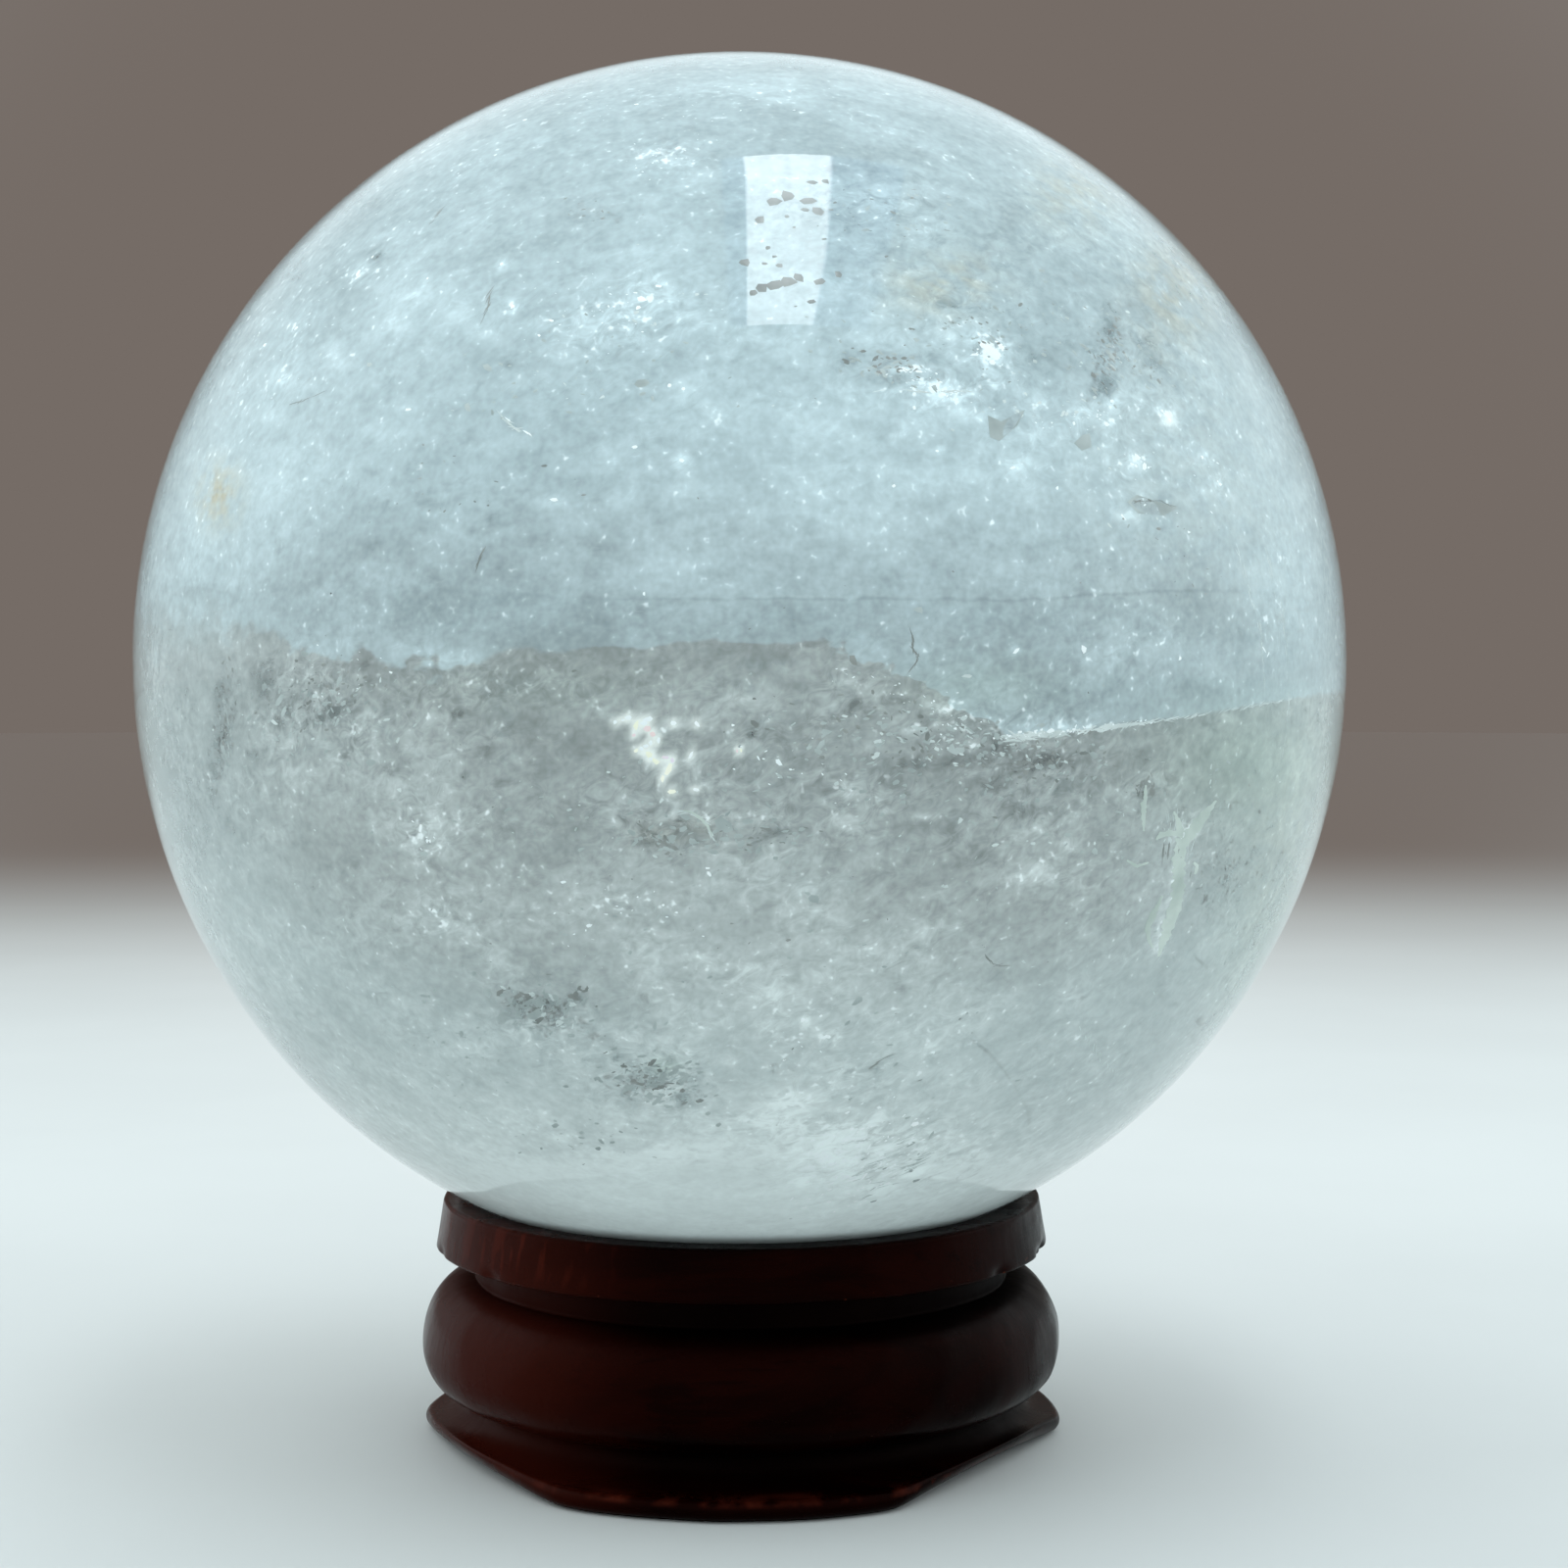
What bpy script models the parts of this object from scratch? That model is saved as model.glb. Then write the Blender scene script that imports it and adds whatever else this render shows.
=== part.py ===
"""A polished quartz sphere that rests in the dish of a small turned hardwood stand.

Two separate pieces: the stone, and the stand that it can be lifted off.
The origin is on the table under the middle of the stand, with +Z up.
The side that faces the viewer is -Y.
"""
import math

import bmesh
import bpy

MM = 0.001

# Quartz sphere
SPHERE_DIAMETER = 75.0 * MM
SPHERE_CENTRE_HEIGHT = 48.9 * MM
SPHERE_SEGMENTS = 64
SPHERE_RINGS = 34

# Wooden stand, from the table up. Radii are measured from its axis.
SEAT_GAP = 0.3 * MM
STAND_HEIGHT = 15.5 * MM
RIM_RADIUS = 18.85 * MM
RIM_LAND_RADIUS = 17.4 * MM
RING_RADIUS = 19.3 * MM
RING_LOWER_EDGE = 12.55 * MM
UPPER_GROOVE_RADIUS = 16.9 * MM
BULGE_RADIUS = 20.2 * MM
BULGE_TOP = 10.4 * MM
BULGE_WIDEST = 6.2 * MM
BULGE_BOTTOM = 3.4 * MM
LOWER_GROOVE_RADIUS = 17.3 * MM
FLANGE_TOP = 2.7 * MM
FLANGE_NOSE_HEIGHT = 0.7 * MM
FLANGE_NOSE_RADIUS = 0.6 * MM
FLANGE_RADIUS = 20.45 * MM
FOOT_BOTTOM_RADIUS = 19.95 * MM
UNDERSIDE_RECESS_RADIUS = 13.8 * MM
UNDERSIDE_RECESS_DEPTH = 1.7 * MM
CENTRE_HOLE_RADIUS = 3.0 * MM
STAND_SEGMENTS = 72

# Edge roundings and the fullness of the bulge
RING_EDGE_ROUNDING = 0.25 * MM
RIM_ROUNDING = 0.3 * MM
FOOT_ROUNDING = 0.25 * MM
BULGE_FULLNESS = 0.82

# Three scallops are carved into the flange, which leaves three feet between them.
# They are cut by hand, so the right, back and left ones differ a little in depth.
# Where a cut meets a foot, the corner is rounded off.
SCALLOP_DEPTHS = (1.15, 1.0, 0.85)
FIRST_SCALLOP_ANGLE = 57.0
SCALLOP_HALF_WIDTH = 30.0
SCALLOP_RISE = 0.65 * MM
SCALLOP_CUT = 2.2 * MM
CORNER_SOFTNESS = 0.2

QUARTZ_COLOUR = (0.80, 0.85, 0.86, 1.0)
QUARTZ_ROUGHNESS = 0.04
WOOD_COLOUR = (0.075, 0.014, 0.008, 1.0)
WOOD_ROUGHNESS = 0.22


def clear_scene():
    """Removes every object, so that the model is built from nothing."""
    for item in list(bpy.data.objects):
        bpy.data.objects.remove(item, do_unlink=True)


def make_material(name, colour, roughness):
    """A plain dielectric of one colour."""
    material = bpy.data.materials.new(name)
    material.use_nodes = True
    shader = material.node_tree.nodes["Principled BSDF"]
    shader.inputs["Base Color"].default_value = colour
    shader.inputs["Roughness"].default_value = roughness
    shader.inputs["Metallic"].default_value = 0.0
    return material


def add_object(name, bm, material):
    """Turns a finished bmesh into a named, smooth-shaded object in the scene."""
    bmesh.ops.recalc_face_normals(bm, faces=bm.faces)
    mesh = bpy.data.meshes.new(name)
    bm.to_mesh(mesh)
    bm.free()
    mesh.shade_smooth()
    mesh.set_sharp_from_angle(angle=math.radians(40))
    mesh.materials.append(material)
    item = bpy.data.objects.new(name, mesh)
    bpy.context.scene.collection.objects.link(item)
    return item


def arc(centre, radii, start, end, steps, power=1.0):
    """Points on an ellipse from one angle to another, in degrees; a power under 1 makes it fuller."""
    points = []
    for step in range(steps + 1):
        angle = math.radians(start + (end - start) * step / steps)
        across = math.cos(angle)
        along = math.sin(angle)
        reach = math.copysign(abs(across) ** power, across)
        points.append((centre[0] + radii[0] * reach, centre[1] + radii[1] * along))
    return points


def seat_height(radius):
    """Height of the dish at a radius: a sphere a gap wider than the stone, about the same centre."""
    seat_radius = SPHERE_DIAMETER / 2 + SEAT_GAP
    return SPHERE_CENTRE_HEIGHT - math.sqrt(seat_radius ** 2 - radius ** 2)


def underside_profile():
    """From the centre hole out over the shallow recess and down to the foot ring."""
    return [
        (CENTRE_HOLE_RADIUS, UNDERSIDE_RECESS_DEPTH),
        (UNDERSIDE_RECESS_RADIUS - FOOT_ROUNDING, UNDERSIDE_RECESS_DEPTH),
        (UNDERSIDE_RECESS_RADIUS, FOOT_ROUNDING),
        (UNDERSIDE_RECESS_RADIUS + FOOT_ROUNDING, 0.0),
    ]


def flange_profile():
    """The foot's edge: up and out to a rounded nose, then in along a hollow top to the lower groove."""
    foot_centre = (FOOT_BOTTOM_RADIUS - FOOT_ROUNDING, FOOT_ROUNDING)
    foot = arc(foot_centre, (FOOT_ROUNDING, FOOT_ROUNDING), -90, -30, 2)
    nose_centre = (FLANGE_RADIUS - FLANGE_NOSE_RADIUS, FLANGE_NOSE_HEIGHT)
    nose = arc(nose_centre, (FLANGE_NOSE_RADIUS, FLANGE_NOSE_RADIUS), -50, 80, 4)
    cove_centre = (nose[-1][0], FLANGE_TOP)
    cove_radii = (cove_centre[0] - LOWER_GROOVE_RADIUS, FLANGE_TOP - nose[-1][1])
    cove = arc(cove_centre, cove_radii, -90, -180, 4)
    return foot + nose + cove[1:]


def bulge_profile():
    """A full convex swelling, widest below its middle, between the two grooves."""
    lower_radii = (BULGE_RADIUS - LOWER_GROOVE_RADIUS, BULGE_WIDEST - BULGE_BOTTOM)
    upper_radii = (BULGE_RADIUS - UPPER_GROOVE_RADIUS, BULGE_TOP - BULGE_WIDEST)
    lower = arc((LOWER_GROOVE_RADIUS, BULGE_WIDEST), lower_radii, -90, 0, 5, BULGE_FULLNESS)
    upper = arc((UPPER_GROOVE_RADIUS, BULGE_WIDEST), upper_radii, 0, 90, 6, BULGE_FULLNESS)
    return lower + upper[1:]


def ring_profile():
    """The upper ring: a crisp lower edge, a face that leans in, a rounded rim and a narrow land."""
    edge_centre = (RING_RADIUS - RING_EDGE_ROUNDING, RING_LOWER_EDGE + RING_EDGE_ROUNDING)
    lower_edge = arc(edge_centre, (RING_EDGE_ROUNDING, RING_EDGE_ROUNDING), -90, 0, 2)
    rim_centre = (RIM_RADIUS - RIM_ROUNDING, STAND_HEIGHT - RIM_ROUNDING)
    rim = arc(rim_centre, (RIM_ROUNDING, RIM_ROUNDING), 0, 90, 2)
    return [(UPPER_GROOVE_RADIUS, RING_LOWER_EDGE - RING_EDGE_ROUNDING)] + lower_edge + rim


def dish_profile():
    """The seat, from the land at the rim in to the centre hole."""
    steps = 4
    points = []
    for step in range(steps + 1):
        radius = RIM_LAND_RADIUS + (CENTRE_HOLE_RADIUS - RIM_LAND_RADIUS) * step / steps
        points.append((radius, seat_height(radius)))
    return points


def scallop_depth(angle):
    """About 0 on the feet and 1 in the middle of a scallop: a straight cut across the flange, with round ends."""
    pitch = 360.0 / len(SCALLOP_DEPTHS)
    turn = (angle - FIRST_SCALLOP_ANGLE + pitch / 2) % 360.0
    offset = turn % pitch - pitch / 2
    corner = math.cos(math.radians(SCALLOP_HALF_WIDTH))
    chord = (1 - corner / math.cos(math.radians(offset))) / (1 - corner)
    rounded = (chord + math.sqrt(chord ** 2 + CORNER_SOFTNESS ** 2)) / 2
    return SCALLOP_DEPTHS[int(turn // pitch)] * rounded


def carve_scallops(bm):
    """Lifts the foot's underside and draws the flange in, wherever a scallop passes."""
    for vertex in bm.verts:
        x, y, height = vertex.co
        radius = math.hypot(x, y)
        if radius < UNDERSIDE_RECESS_RADIUS - FOOT_ROUNDING / 2 or height >= BULGE_BOTTOM:
            continue
        depth = scallop_depth(math.degrees(math.atan2(x, -y)))
        below_groove = 1 - height / BULGE_BOTTOM
        overhang = max(0.0, (radius - LOWER_GROOVE_RADIUS) / (FLANGE_RADIUS - LOWER_GROOVE_RADIUS))
        scale = 1 - SCALLOP_CUT * depth * below_groove * overhang / radius
        vertex.co = (x * scale, y * scale, height + SCALLOP_RISE * depth * below_groove)


def make_stand(material):
    """Turns the closed profile about the axis, then carves the scallops."""
    profile = underside_profile() + flange_profile() + bulge_profile() + ring_profile() + dish_profile()
    start = math.radians(FIRST_SCALLOP_ANGLE - SCALLOP_HALF_WIDTH)
    across, towards_viewer = math.sin(start), -math.cos(start)
    bm = bmesh.new()
    corners = [bm.verts.new((radius * across, radius * towards_viewer, height)) for radius, height in profile]
    edges = [bm.edges.new((a, b)) for a, b in zip(corners, corners[1:] + corners[:1])]
    bmesh.ops.spin(bm, geom=corners + edges, cent=(0, 0, 0), axis=(0, 0, 1), angle=math.tau,
                   steps=STAND_SEGMENTS, use_merge=True, use_duplicate=False)
    bmesh.ops.remove_doubles(bm, verts=bm.verts, dist=0.001 * MM)
    carve_scallops(bm)
    return add_object("wood_stand", bm, material)


def make_sphere(material):
    """One solid ball, with its poles on the vertical axis."""
    bm = bmesh.new()
    bmesh.ops.create_uvsphere(bm, u_segments=SPHERE_SEGMENTS, v_segments=SPHERE_RINGS,
                              radius=SPHERE_DIAMETER / 2)
    sphere = add_object("quartz_sphere", bm, material)
    sphere.location = (0, 0, SPHERE_CENTRE_HEIGHT)
    return sphere


def main():
    clear_scene()
    quartz = make_material("polished_quartz", QUARTZ_COLOUR, QUARTZ_ROUGHNESS)
    wood = make_material("varnished_hardwood", WOOD_COLOUR, WOOD_ROUGHNESS)
    make_stand(wood)
    make_sphere(quartz)


if __name__ == "__main__":
    main()
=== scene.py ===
"""A polished quartz sphere in the dish of a small turned and varnished hardwood stand, on a pale floor.

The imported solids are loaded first, and every piece below is worked out from their boxes and the settings.
"""

import math

import bpy
import numpy as np
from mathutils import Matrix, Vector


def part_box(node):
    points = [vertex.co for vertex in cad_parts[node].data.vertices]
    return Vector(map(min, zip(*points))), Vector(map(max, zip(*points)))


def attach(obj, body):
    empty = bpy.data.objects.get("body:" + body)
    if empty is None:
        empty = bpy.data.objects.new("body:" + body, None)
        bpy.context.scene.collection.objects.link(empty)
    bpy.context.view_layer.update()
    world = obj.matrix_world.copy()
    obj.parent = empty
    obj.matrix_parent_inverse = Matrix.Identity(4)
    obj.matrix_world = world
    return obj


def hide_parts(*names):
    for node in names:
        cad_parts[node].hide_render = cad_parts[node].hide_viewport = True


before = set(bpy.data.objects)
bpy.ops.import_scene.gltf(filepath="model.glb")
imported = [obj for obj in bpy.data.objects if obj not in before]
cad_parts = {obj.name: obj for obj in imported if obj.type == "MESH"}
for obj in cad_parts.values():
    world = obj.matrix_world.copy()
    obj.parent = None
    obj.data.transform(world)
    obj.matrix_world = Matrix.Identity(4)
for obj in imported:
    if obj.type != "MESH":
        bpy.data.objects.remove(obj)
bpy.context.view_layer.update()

bl_info = {
    "name": "Quartz sphere on a turned stand",
    "version": (1, 0, 0),
    "blender": (4, 5, 0),
    "location": "3D View > Sidebar > Quartz",
    "description": "Builds a polished quartz sphere with its inner veils, a turned wood stand and a stage",
    "category": "Object",
}

MM = 0.001
QUARTZ_IOR = 1.544
PHOTO_SIZE = 1600
SENSOR_WIDTH = 36.0
PIXELS_PER_MM = 17.0
BODY = "root"

ball_low, ball_high = (np.array(corner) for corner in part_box("quartz_sphere"))
BALL_CENTRE = (ball_low + ball_high) / 2
BALL_RADIUS = (ball_high[2] - ball_low[2]) / 2
STAND_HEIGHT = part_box("wood_stand")[1][2]


def linear(hex_code):
    """An sRGB hex colour as linear red, green, blue and alpha."""
    channels = [int(hex_code[start:start + 2], 16) / 255 for start in (1, 3, 5)]
    return [c / 12.92 if c <= 0.04045 else ((c + 0.055) / 1.055) ** 2.4 for c in channels] + [1.0]


def colour_setting(name, description, hex_code):
    """A colour property whose default is an sRGB hex value."""
    return bpy.props.FloatVectorProperty(
        name=name, description=description, default=linear(hex_code), size=4, min=0.0, max=1.0,
        subtype="COLOR")


class QuartzStoneSettings(bpy.types.PropertyGroup):
    radius: bpy.props.FloatProperty(
        name="Radius", description="Radius of the polished ball", default=BALL_RADIUS, min=0.005,
        unit="LENGTH")
    upper_tint: colour_setting("Upper tint", "Colour of the haze in the upper half, under the light",
                               "#D6EAEF")
    lower_tint: colour_setting("Lower tint", "Colour of the haze in the lower half", "#DAE4E3")
    stain_tint: colour_setting("Stain tint", "Beige iron stain on a few inner faces", "#C9BE9C")
    green_tint: colour_setting("Green tint", "Faint green of the haze at the right", "#C4DCCB")
    body_tint: colour_setting("Body tint",
                              "Colour that a long way through the clear stone leaves in the light",
                              "#DDF3F6")
    absorption: bpy.props.FloatProperty(
        name="Absorption", description="How strongly the clear stone is coloured, per metre", default=10.0,
        min=0.0)
    clearness: bpy.props.FloatProperty(
        name="Clearness", description="Share of the light that passes through instead of being scattered",
        default=0.45, min=0.0, max=1.0, subtype="FACTOR")
    polish: bpy.props.FloatProperty(
        name="Polish roughness", description="Roughness of the polished skin", default=0.015, min=0.0,
        max=1.0)
    cloud_flecks: bpy.props.IntProperty(
        name="Cloud flecks", description="Number of fine flecks spread through the stone", default=900,
        min=0)
    fleck_size: bpy.props.FloatProperty(
        name="Fleck size", description="Usual half length of a fleck", default=0.08 * MM, min=0.0,
        unit="LENGTH")
    wisps: bpy.props.IntProperty(
        name="Wisps", description="Number of short curved threads of fine bubbles", default=300, min=0)
    wisp_length: bpy.props.FloatProperty(
        name="Wisp length", description="Usual half length of a wisp", default=0.26 * MM, min=0.0,
        unit="LENGTH")
    seed: bpy.props.IntProperty(name="Seed", description="Start of the random draws", default=7)


class QuartzStandSettings(bpy.types.PropertyGroup):
    height: bpy.props.FloatProperty(
        name="Height", description="Height of the rim above the floor", default=STAND_HEIGHT, unit="LENGTH")
    stain: colour_setting("Stain", "Mahogany red stain of the wood", "#100100")
    # The grooves are not drawn in this colour: the wood material paints them black, as painted shade.
    dark_stain: colour_setting("Dark stain", "Colour of the pores and of the stain in the grooves",
                               "#030000")
    varnish_roughness: bpy.props.FloatProperty(
        name="Varnish roughness", description="Roughness of the varnish coat", default=0.16, min=0.0,
        max=1.0)


class QuartzStageSettings(bpy.types.PropertyGroup):
    floor_colour: colour_setting("Floor", "Plain pale floor", "#D2D5D4")
    far_floor_colour: colour_setting("Far floor",
                                     "Tone of the floor far from the stand, close to the backdrop's",
                                     "#5D4D44")
    floor_radius: bpy.props.FloatProperty(
        name="Floor radius", description="Radius of the floor disc", default=1.6, unit="LENGTH")
    backdrop_colour: colour_setting("Backdrop", "Plain backdrop far behind", "#756C66")
    light_strength: bpy.props.FloatProperty(
        name="Room light", description="Strength of the soft light all round", default=1.97, min=0.0)
    side_light_strength: bpy.props.FloatProperty(
        name="Side light", description="Strength of the broad soft light at the upper left", default=0.36,
        min=0.0)
    window_strength: bpy.props.FloatProperty(
        name="Window strength", description="Strength of the window panel over the ball", default=6.5,
        min=0.0)
    window_height: bpy.props.FloatProperty(
        name="Window height", description="Height of the window panel above the floor", default=0.55,
        unit="LENGTH")
    focal_length: bpy.props.FloatProperty(
        name="Focal length", description="Focal length on a 36 mm sensor, in millimetres", default=67.5)
    camera_distance: bpy.props.FloatProperty(
        name="Camera distance", description="Distance from the stand's axis", default=185.6 * MM,
        unit="LENGTH")
    camera_height: bpy.props.FloatProperty(
        name="Camera height", description="Height above the floor", default=49.9 * MM, unit="LENGTH")
    camera_tilt: bpy.props.FloatProperty(
        name="Camera tilt", description="How far the camera looks down", default=math.radians(2.65),
        subtype="ANGLE", unit="ROTATION")
    camera_turn: bpy.props.FloatProperty(
        name="Camera turn", description="How far the camera looks to the right", default=math.radians(0.83),
        subtype="ANGLE", unit="ROTATION")


def camera_turn_matrix(stage):
    """Rows are the camera's right, up and backward axes: a turn about Z after a tilt about X."""
    tilt = math.pi / 2 - stage.camera_tilt
    turn = -stage.camera_turn
    about_x = np.array([[1, 0, 0], [0, math.cos(tilt), -math.sin(tilt)],
                        [0, math.sin(tilt), math.cos(tilt)]])
    about_z = np.array([[math.cos(turn), -math.sin(turn), 0], [math.sin(turn), math.cos(turn), 0],
                        [0, 0, 1]])
    return (about_z @ about_x).T


def camera_eye(stage):
    """The camera's place."""
    return np.array([0.0, -stage.camera_distance, stage.camera_height])


def seen_pixels(points):
    """Pixels of the 1600 by 1600 photograph at which points are seen, by the camera's perspective."""
    stage = bpy.context.scene.quartz_stage
    reach = stage.focal_length / SENSOR_WIDTH * PHOTO_SIZE
    right, up, back = ((points - camera_eye(stage)) @ camera_turn_matrix(stage).T).T
    return np.column_stack((PHOTO_SIZE / 2 - reach * right / back, PHOTO_SIZE / 2 + reach * up / back))


def view_rays(pixels):
    """Directions from the camera through pixels of the 1600 by 1600 photograph, as unit vectors."""
    stage = bpy.context.scene.quartz_stage
    pixels = np.atleast_2d(np.asarray(pixels, float))
    reach = stage.focal_length / SENSOR_WIDTH * PHOTO_SIZE
    seen = np.column_stack((pixels[:, 0] - PHOTO_SIZE / 2, PHOTO_SIZE / 2 - pixels[:, 1],
                            np.full(len(pixels), -reach)))
    rays = seen @ camera_turn_matrix(stage)
    return rays / np.linalg.norm(rays, axis=1, keepdims=True)


def skin_points(pixels):
    """Where the rays through the pixels meet the front of the ball, and the rays themselves."""
    stage = bpy.context.scene.quartz_stage
    eye = camera_eye(stage)
    rays = view_rays(pixels)
    towards = BALL_CENTRE - eye
    along = rays @ towards
    inside = np.maximum(BALL_RADIUS ** 2 - towards @ towards + along ** 2, 0.0)
    return eye + rays * (along - np.sqrt(inside))[:, None], rays


def inner_points(pixels, depth):
    """Points inside the ball that are seen at the pixels.

    Each ray bends at the skin by Snell's law, and the point lies at the given share of its way inside.
    """
    skin, rays = skin_points(pixels)
    outward = (skin - BALL_CENTRE) / BALL_RADIUS
    facing = -np.sum(rays * outward, axis=1)
    ratio = 1 / QUARTZ_IOR
    bent_facing = np.sqrt(1 - ratio ** 2 * (1 - facing ** 2))
    bent = ratio * rays + (ratio * facing - bent_facing)[:, None] * outward
    chord = 2 * BALL_RADIUS * bent_facing
    return skin + bent * (chord * np.broadcast_to(depth, chord.shape))[:, None]


def add_node(tree, kind, inputs=None, **settings):
    """Adds a node with its settings and links; an input takes a value, a socket or a node's live output."""
    node = tree.nodes.new(kind)
    for name, value in settings.items():
        setattr(node, name, value)
    for key, value in (inputs or {}).items():
        if isinstance(value, bpy.types.Node):
            value = next(socket for socket in value.outputs if socket.enabled)
        if isinstance(value, bpy.types.NodeSocket):
            tree.links.new(value, node.inputs[key])
        else:
            node.inputs[key].default_value = value
    return node


def new_material(name):
    """An empty node material, and its tree."""
    material = bpy.data.materials.new(name)
    material.use_nodes = True
    material.node_tree.nodes.clear()
    return material, material.node_tree


def in_millimetres(tree, centre=(0.0, 0.0, 0.0), stretch=(1.0, 1.0, 1.0), turn=0.0):
    """Object coordinates in millimetres about a centre in metres, so a pattern's scale is one over its size.

    The pattern may be squeezed along its own axes, and turned about Y.
    """
    return add_node(tree, "ShaderNodeMapping", {
        "Vector": add_node(tree, "ShaderNodeTexCoord").outputs["Object"], "Location": list(centre),
        "Rotation": (0.0, turn, 0.0), "Scale": [MM / s for s in stretch]}, vector_type="TEXTURE")


def make_mesh_object(name, points, faces, material):
    """A smooth-shaded mesh piece at the origin that rides on the one body."""
    mesh = bpy.data.meshes.new(name)
    mesh.from_pydata(points, [], faces)
    mesh.shade_smooth()
    mesh.materials.append(material)
    piece = bpy.data.objects.new(name, mesh)
    bpy.context.scene.collection.objects.link(piece)
    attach(piece, BODY)
    return piece


def ring_faces(rings, around):
    """Quads between neighbouring rings of points, where each ring closes on itself."""
    ring = np.arange(rings - 1)[:, None] * around
    step = np.arange(around)[None, :]
    following = (step + 1) % around
    corners = (ring + step, ring + following, ring + around + following, ring + around + step)
    return np.stack(corners, axis=-1).reshape(-1, 4)


def join_copies(name, centres, shapes, turns, faces, material):
    """Joins many small closed shapes into one piece: each copy is turned, then moved to its centre."""
    points = np.einsum("nij,nkj->nki", turns, shapes) + centres[:, None, :]
    count = shapes.shape[1]
    joined = (faces[None, :, :] + np.arange(len(centres))[:, None, None] * count).reshape(-1, faces.shape[1])
    piece = make_mesh_object(name, points.reshape(-1, 3), joined, material)
    piece.data.shade_flat()


def flake_shapes(halves):
    """Flat eight-sided flakes: an octahedron stretched to each flake's three half sizes."""
    return FLAKE_POINTS[None, :, :] * halves[:, None, :]


FLAKE_POINTS = np.array([[1, 0, 0], [0, 1, 0], [-1, 0, 0], [0, -1, 0], [0, 0, 1], [0, 0, -1]], float)
FLAKE_FACES = np.array([[0, 1, 4], [1, 2, 4], [2, 3, 4], [3, 0, 4], [1, 0, 5], [2, 1, 5], [3, 2, 5],
                        [0, 3, 5]])


def shard_shapes(halves, draw):
    """Flat six-cornered shards: each corner lies at a random share of the half sizes from the centre."""
    turn = np.arange(6) * math.pi / 3
    reach = draw.uniform(0.55, 1.15, (len(halves), 6))
    rim = np.stack((reach * np.cos(turn), reach * np.sin(turn), 0 * reach), axis=-1)
    tips = np.broadcast_to(np.array([[0, 0, 1], [0, 0, -1]], float), (len(halves), 2, 3))
    return np.concatenate((rim, tips), axis=1) * halves[:, None, :]


SHARD_FACES = np.array([[k, (k + 1) % 6, 6] for k in range(6)] + [[(k + 1) % 6, k, 7] for k in range(6)])


def wisp_shapes(half_lengths, widths, bends):
    """Curved four-sided threads, pointed at both ends.

    Along a thread t runs from -1 to 1: x is t, y is the bend times 1 - t squared, and the thickness follows
    the square root of 1 - t squared.
    """
    share = np.array([-0.65, 0.0, 0.65])
    turn = np.arange(4) * math.pi / 2
    thick = np.sqrt(1 - share ** 2)
    along = np.repeat(share, 4)
    side = (thick[:, None] * np.cos(turn)).ravel()
    rise = (thick[:, None] * np.sin(turn)).ravel()
    along = np.append(along, (-1, 1))
    side = np.append(side, (0, 0))
    rise = np.append(rise, (0, 0))
    bow = 1 - along ** 2
    return np.stack((half_lengths[:, None] * along,
                     (half_lengths * bends)[:, None] * bow + widths[:, None] * side,
                     widths[:, None] * rise), axis=-1)


def wisp_faces():
    """Triangles of one thread: two rows of quads, split, and a fan at each end."""
    quads = ring_faces(3, 4)
    rows = np.vstack((quads[:, (0, 1, 2)], quads[:, (0, 2, 3)]))
    step = np.arange(4)
    following = (step + 1) % 4
    start = np.column_stack((np.full(4, 12), following, step))
    end = np.column_stack((np.full(4, 13), 8 + step, 8 + following))
    return np.vstack((rows, start, end))


def turns_to(normals, draw):
    """Rotations that carry +Z to the given directions, each with a random spin about it."""
    normals = normals / np.linalg.norm(normals, axis=1, keepdims=True)
    first = np.cross(normals, draw.normal(size=normals.shape))
    first /= np.linalg.norm(first, axis=1, keepdims=True)
    return np.stack((first, np.cross(normals, first), normals), axis=-1)


def random_turns(draw, count):
    """Evenly spread random rotations."""
    return turns_to(draw.normal(size=(count, 3)), draw)


def soft_field(points, size, draw, waves=24):
    """A smooth random field: the mean of plane waves of about one size, in random directions and phases."""
    ways = draw.normal(size=(waves, 3))
    ways /= np.linalg.norm(ways, axis=1, keepdims=True)
    lengths = size * draw.uniform(0.6, 1.6, waves)
    phases = draw.uniform(0, 2 * math.pi, waves)
    total = np.cos(points @ (ways / lengths[:, None]).T * 2 * math.pi + phases).sum(axis=1)
    return total / math.sqrt(waves / 2)


def spread_in_ball(draw, count, radius, wide, fine):
    """Random points in the ball, thicker where two smooth fields are high, as clouds are in grown quartz."""
    tries = draw.uniform(-1, 1, (count * 9, 3))
    tries = tries[np.linalg.norm(tries, axis=1) < 0.93] * radius
    field = soft_field(tries * (0.7, 1.0, 1.5), wide, draw) + 0.7 * soft_field(tries, fine, draw)
    keep = draw.uniform(0, 1, len(tries)) < np.clip(0.25 + 0.3 * field, 0.02, 1.0)
    return tries[keep][:count] + BALL_CENTRE


# The stone's features are placed by the pixels of the 1600 by 1600 photograph at which they are seen.
BALL_PIXEL = (757.5, 671.5)
BALL_PIXEL_RADIUS = 619.5

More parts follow.
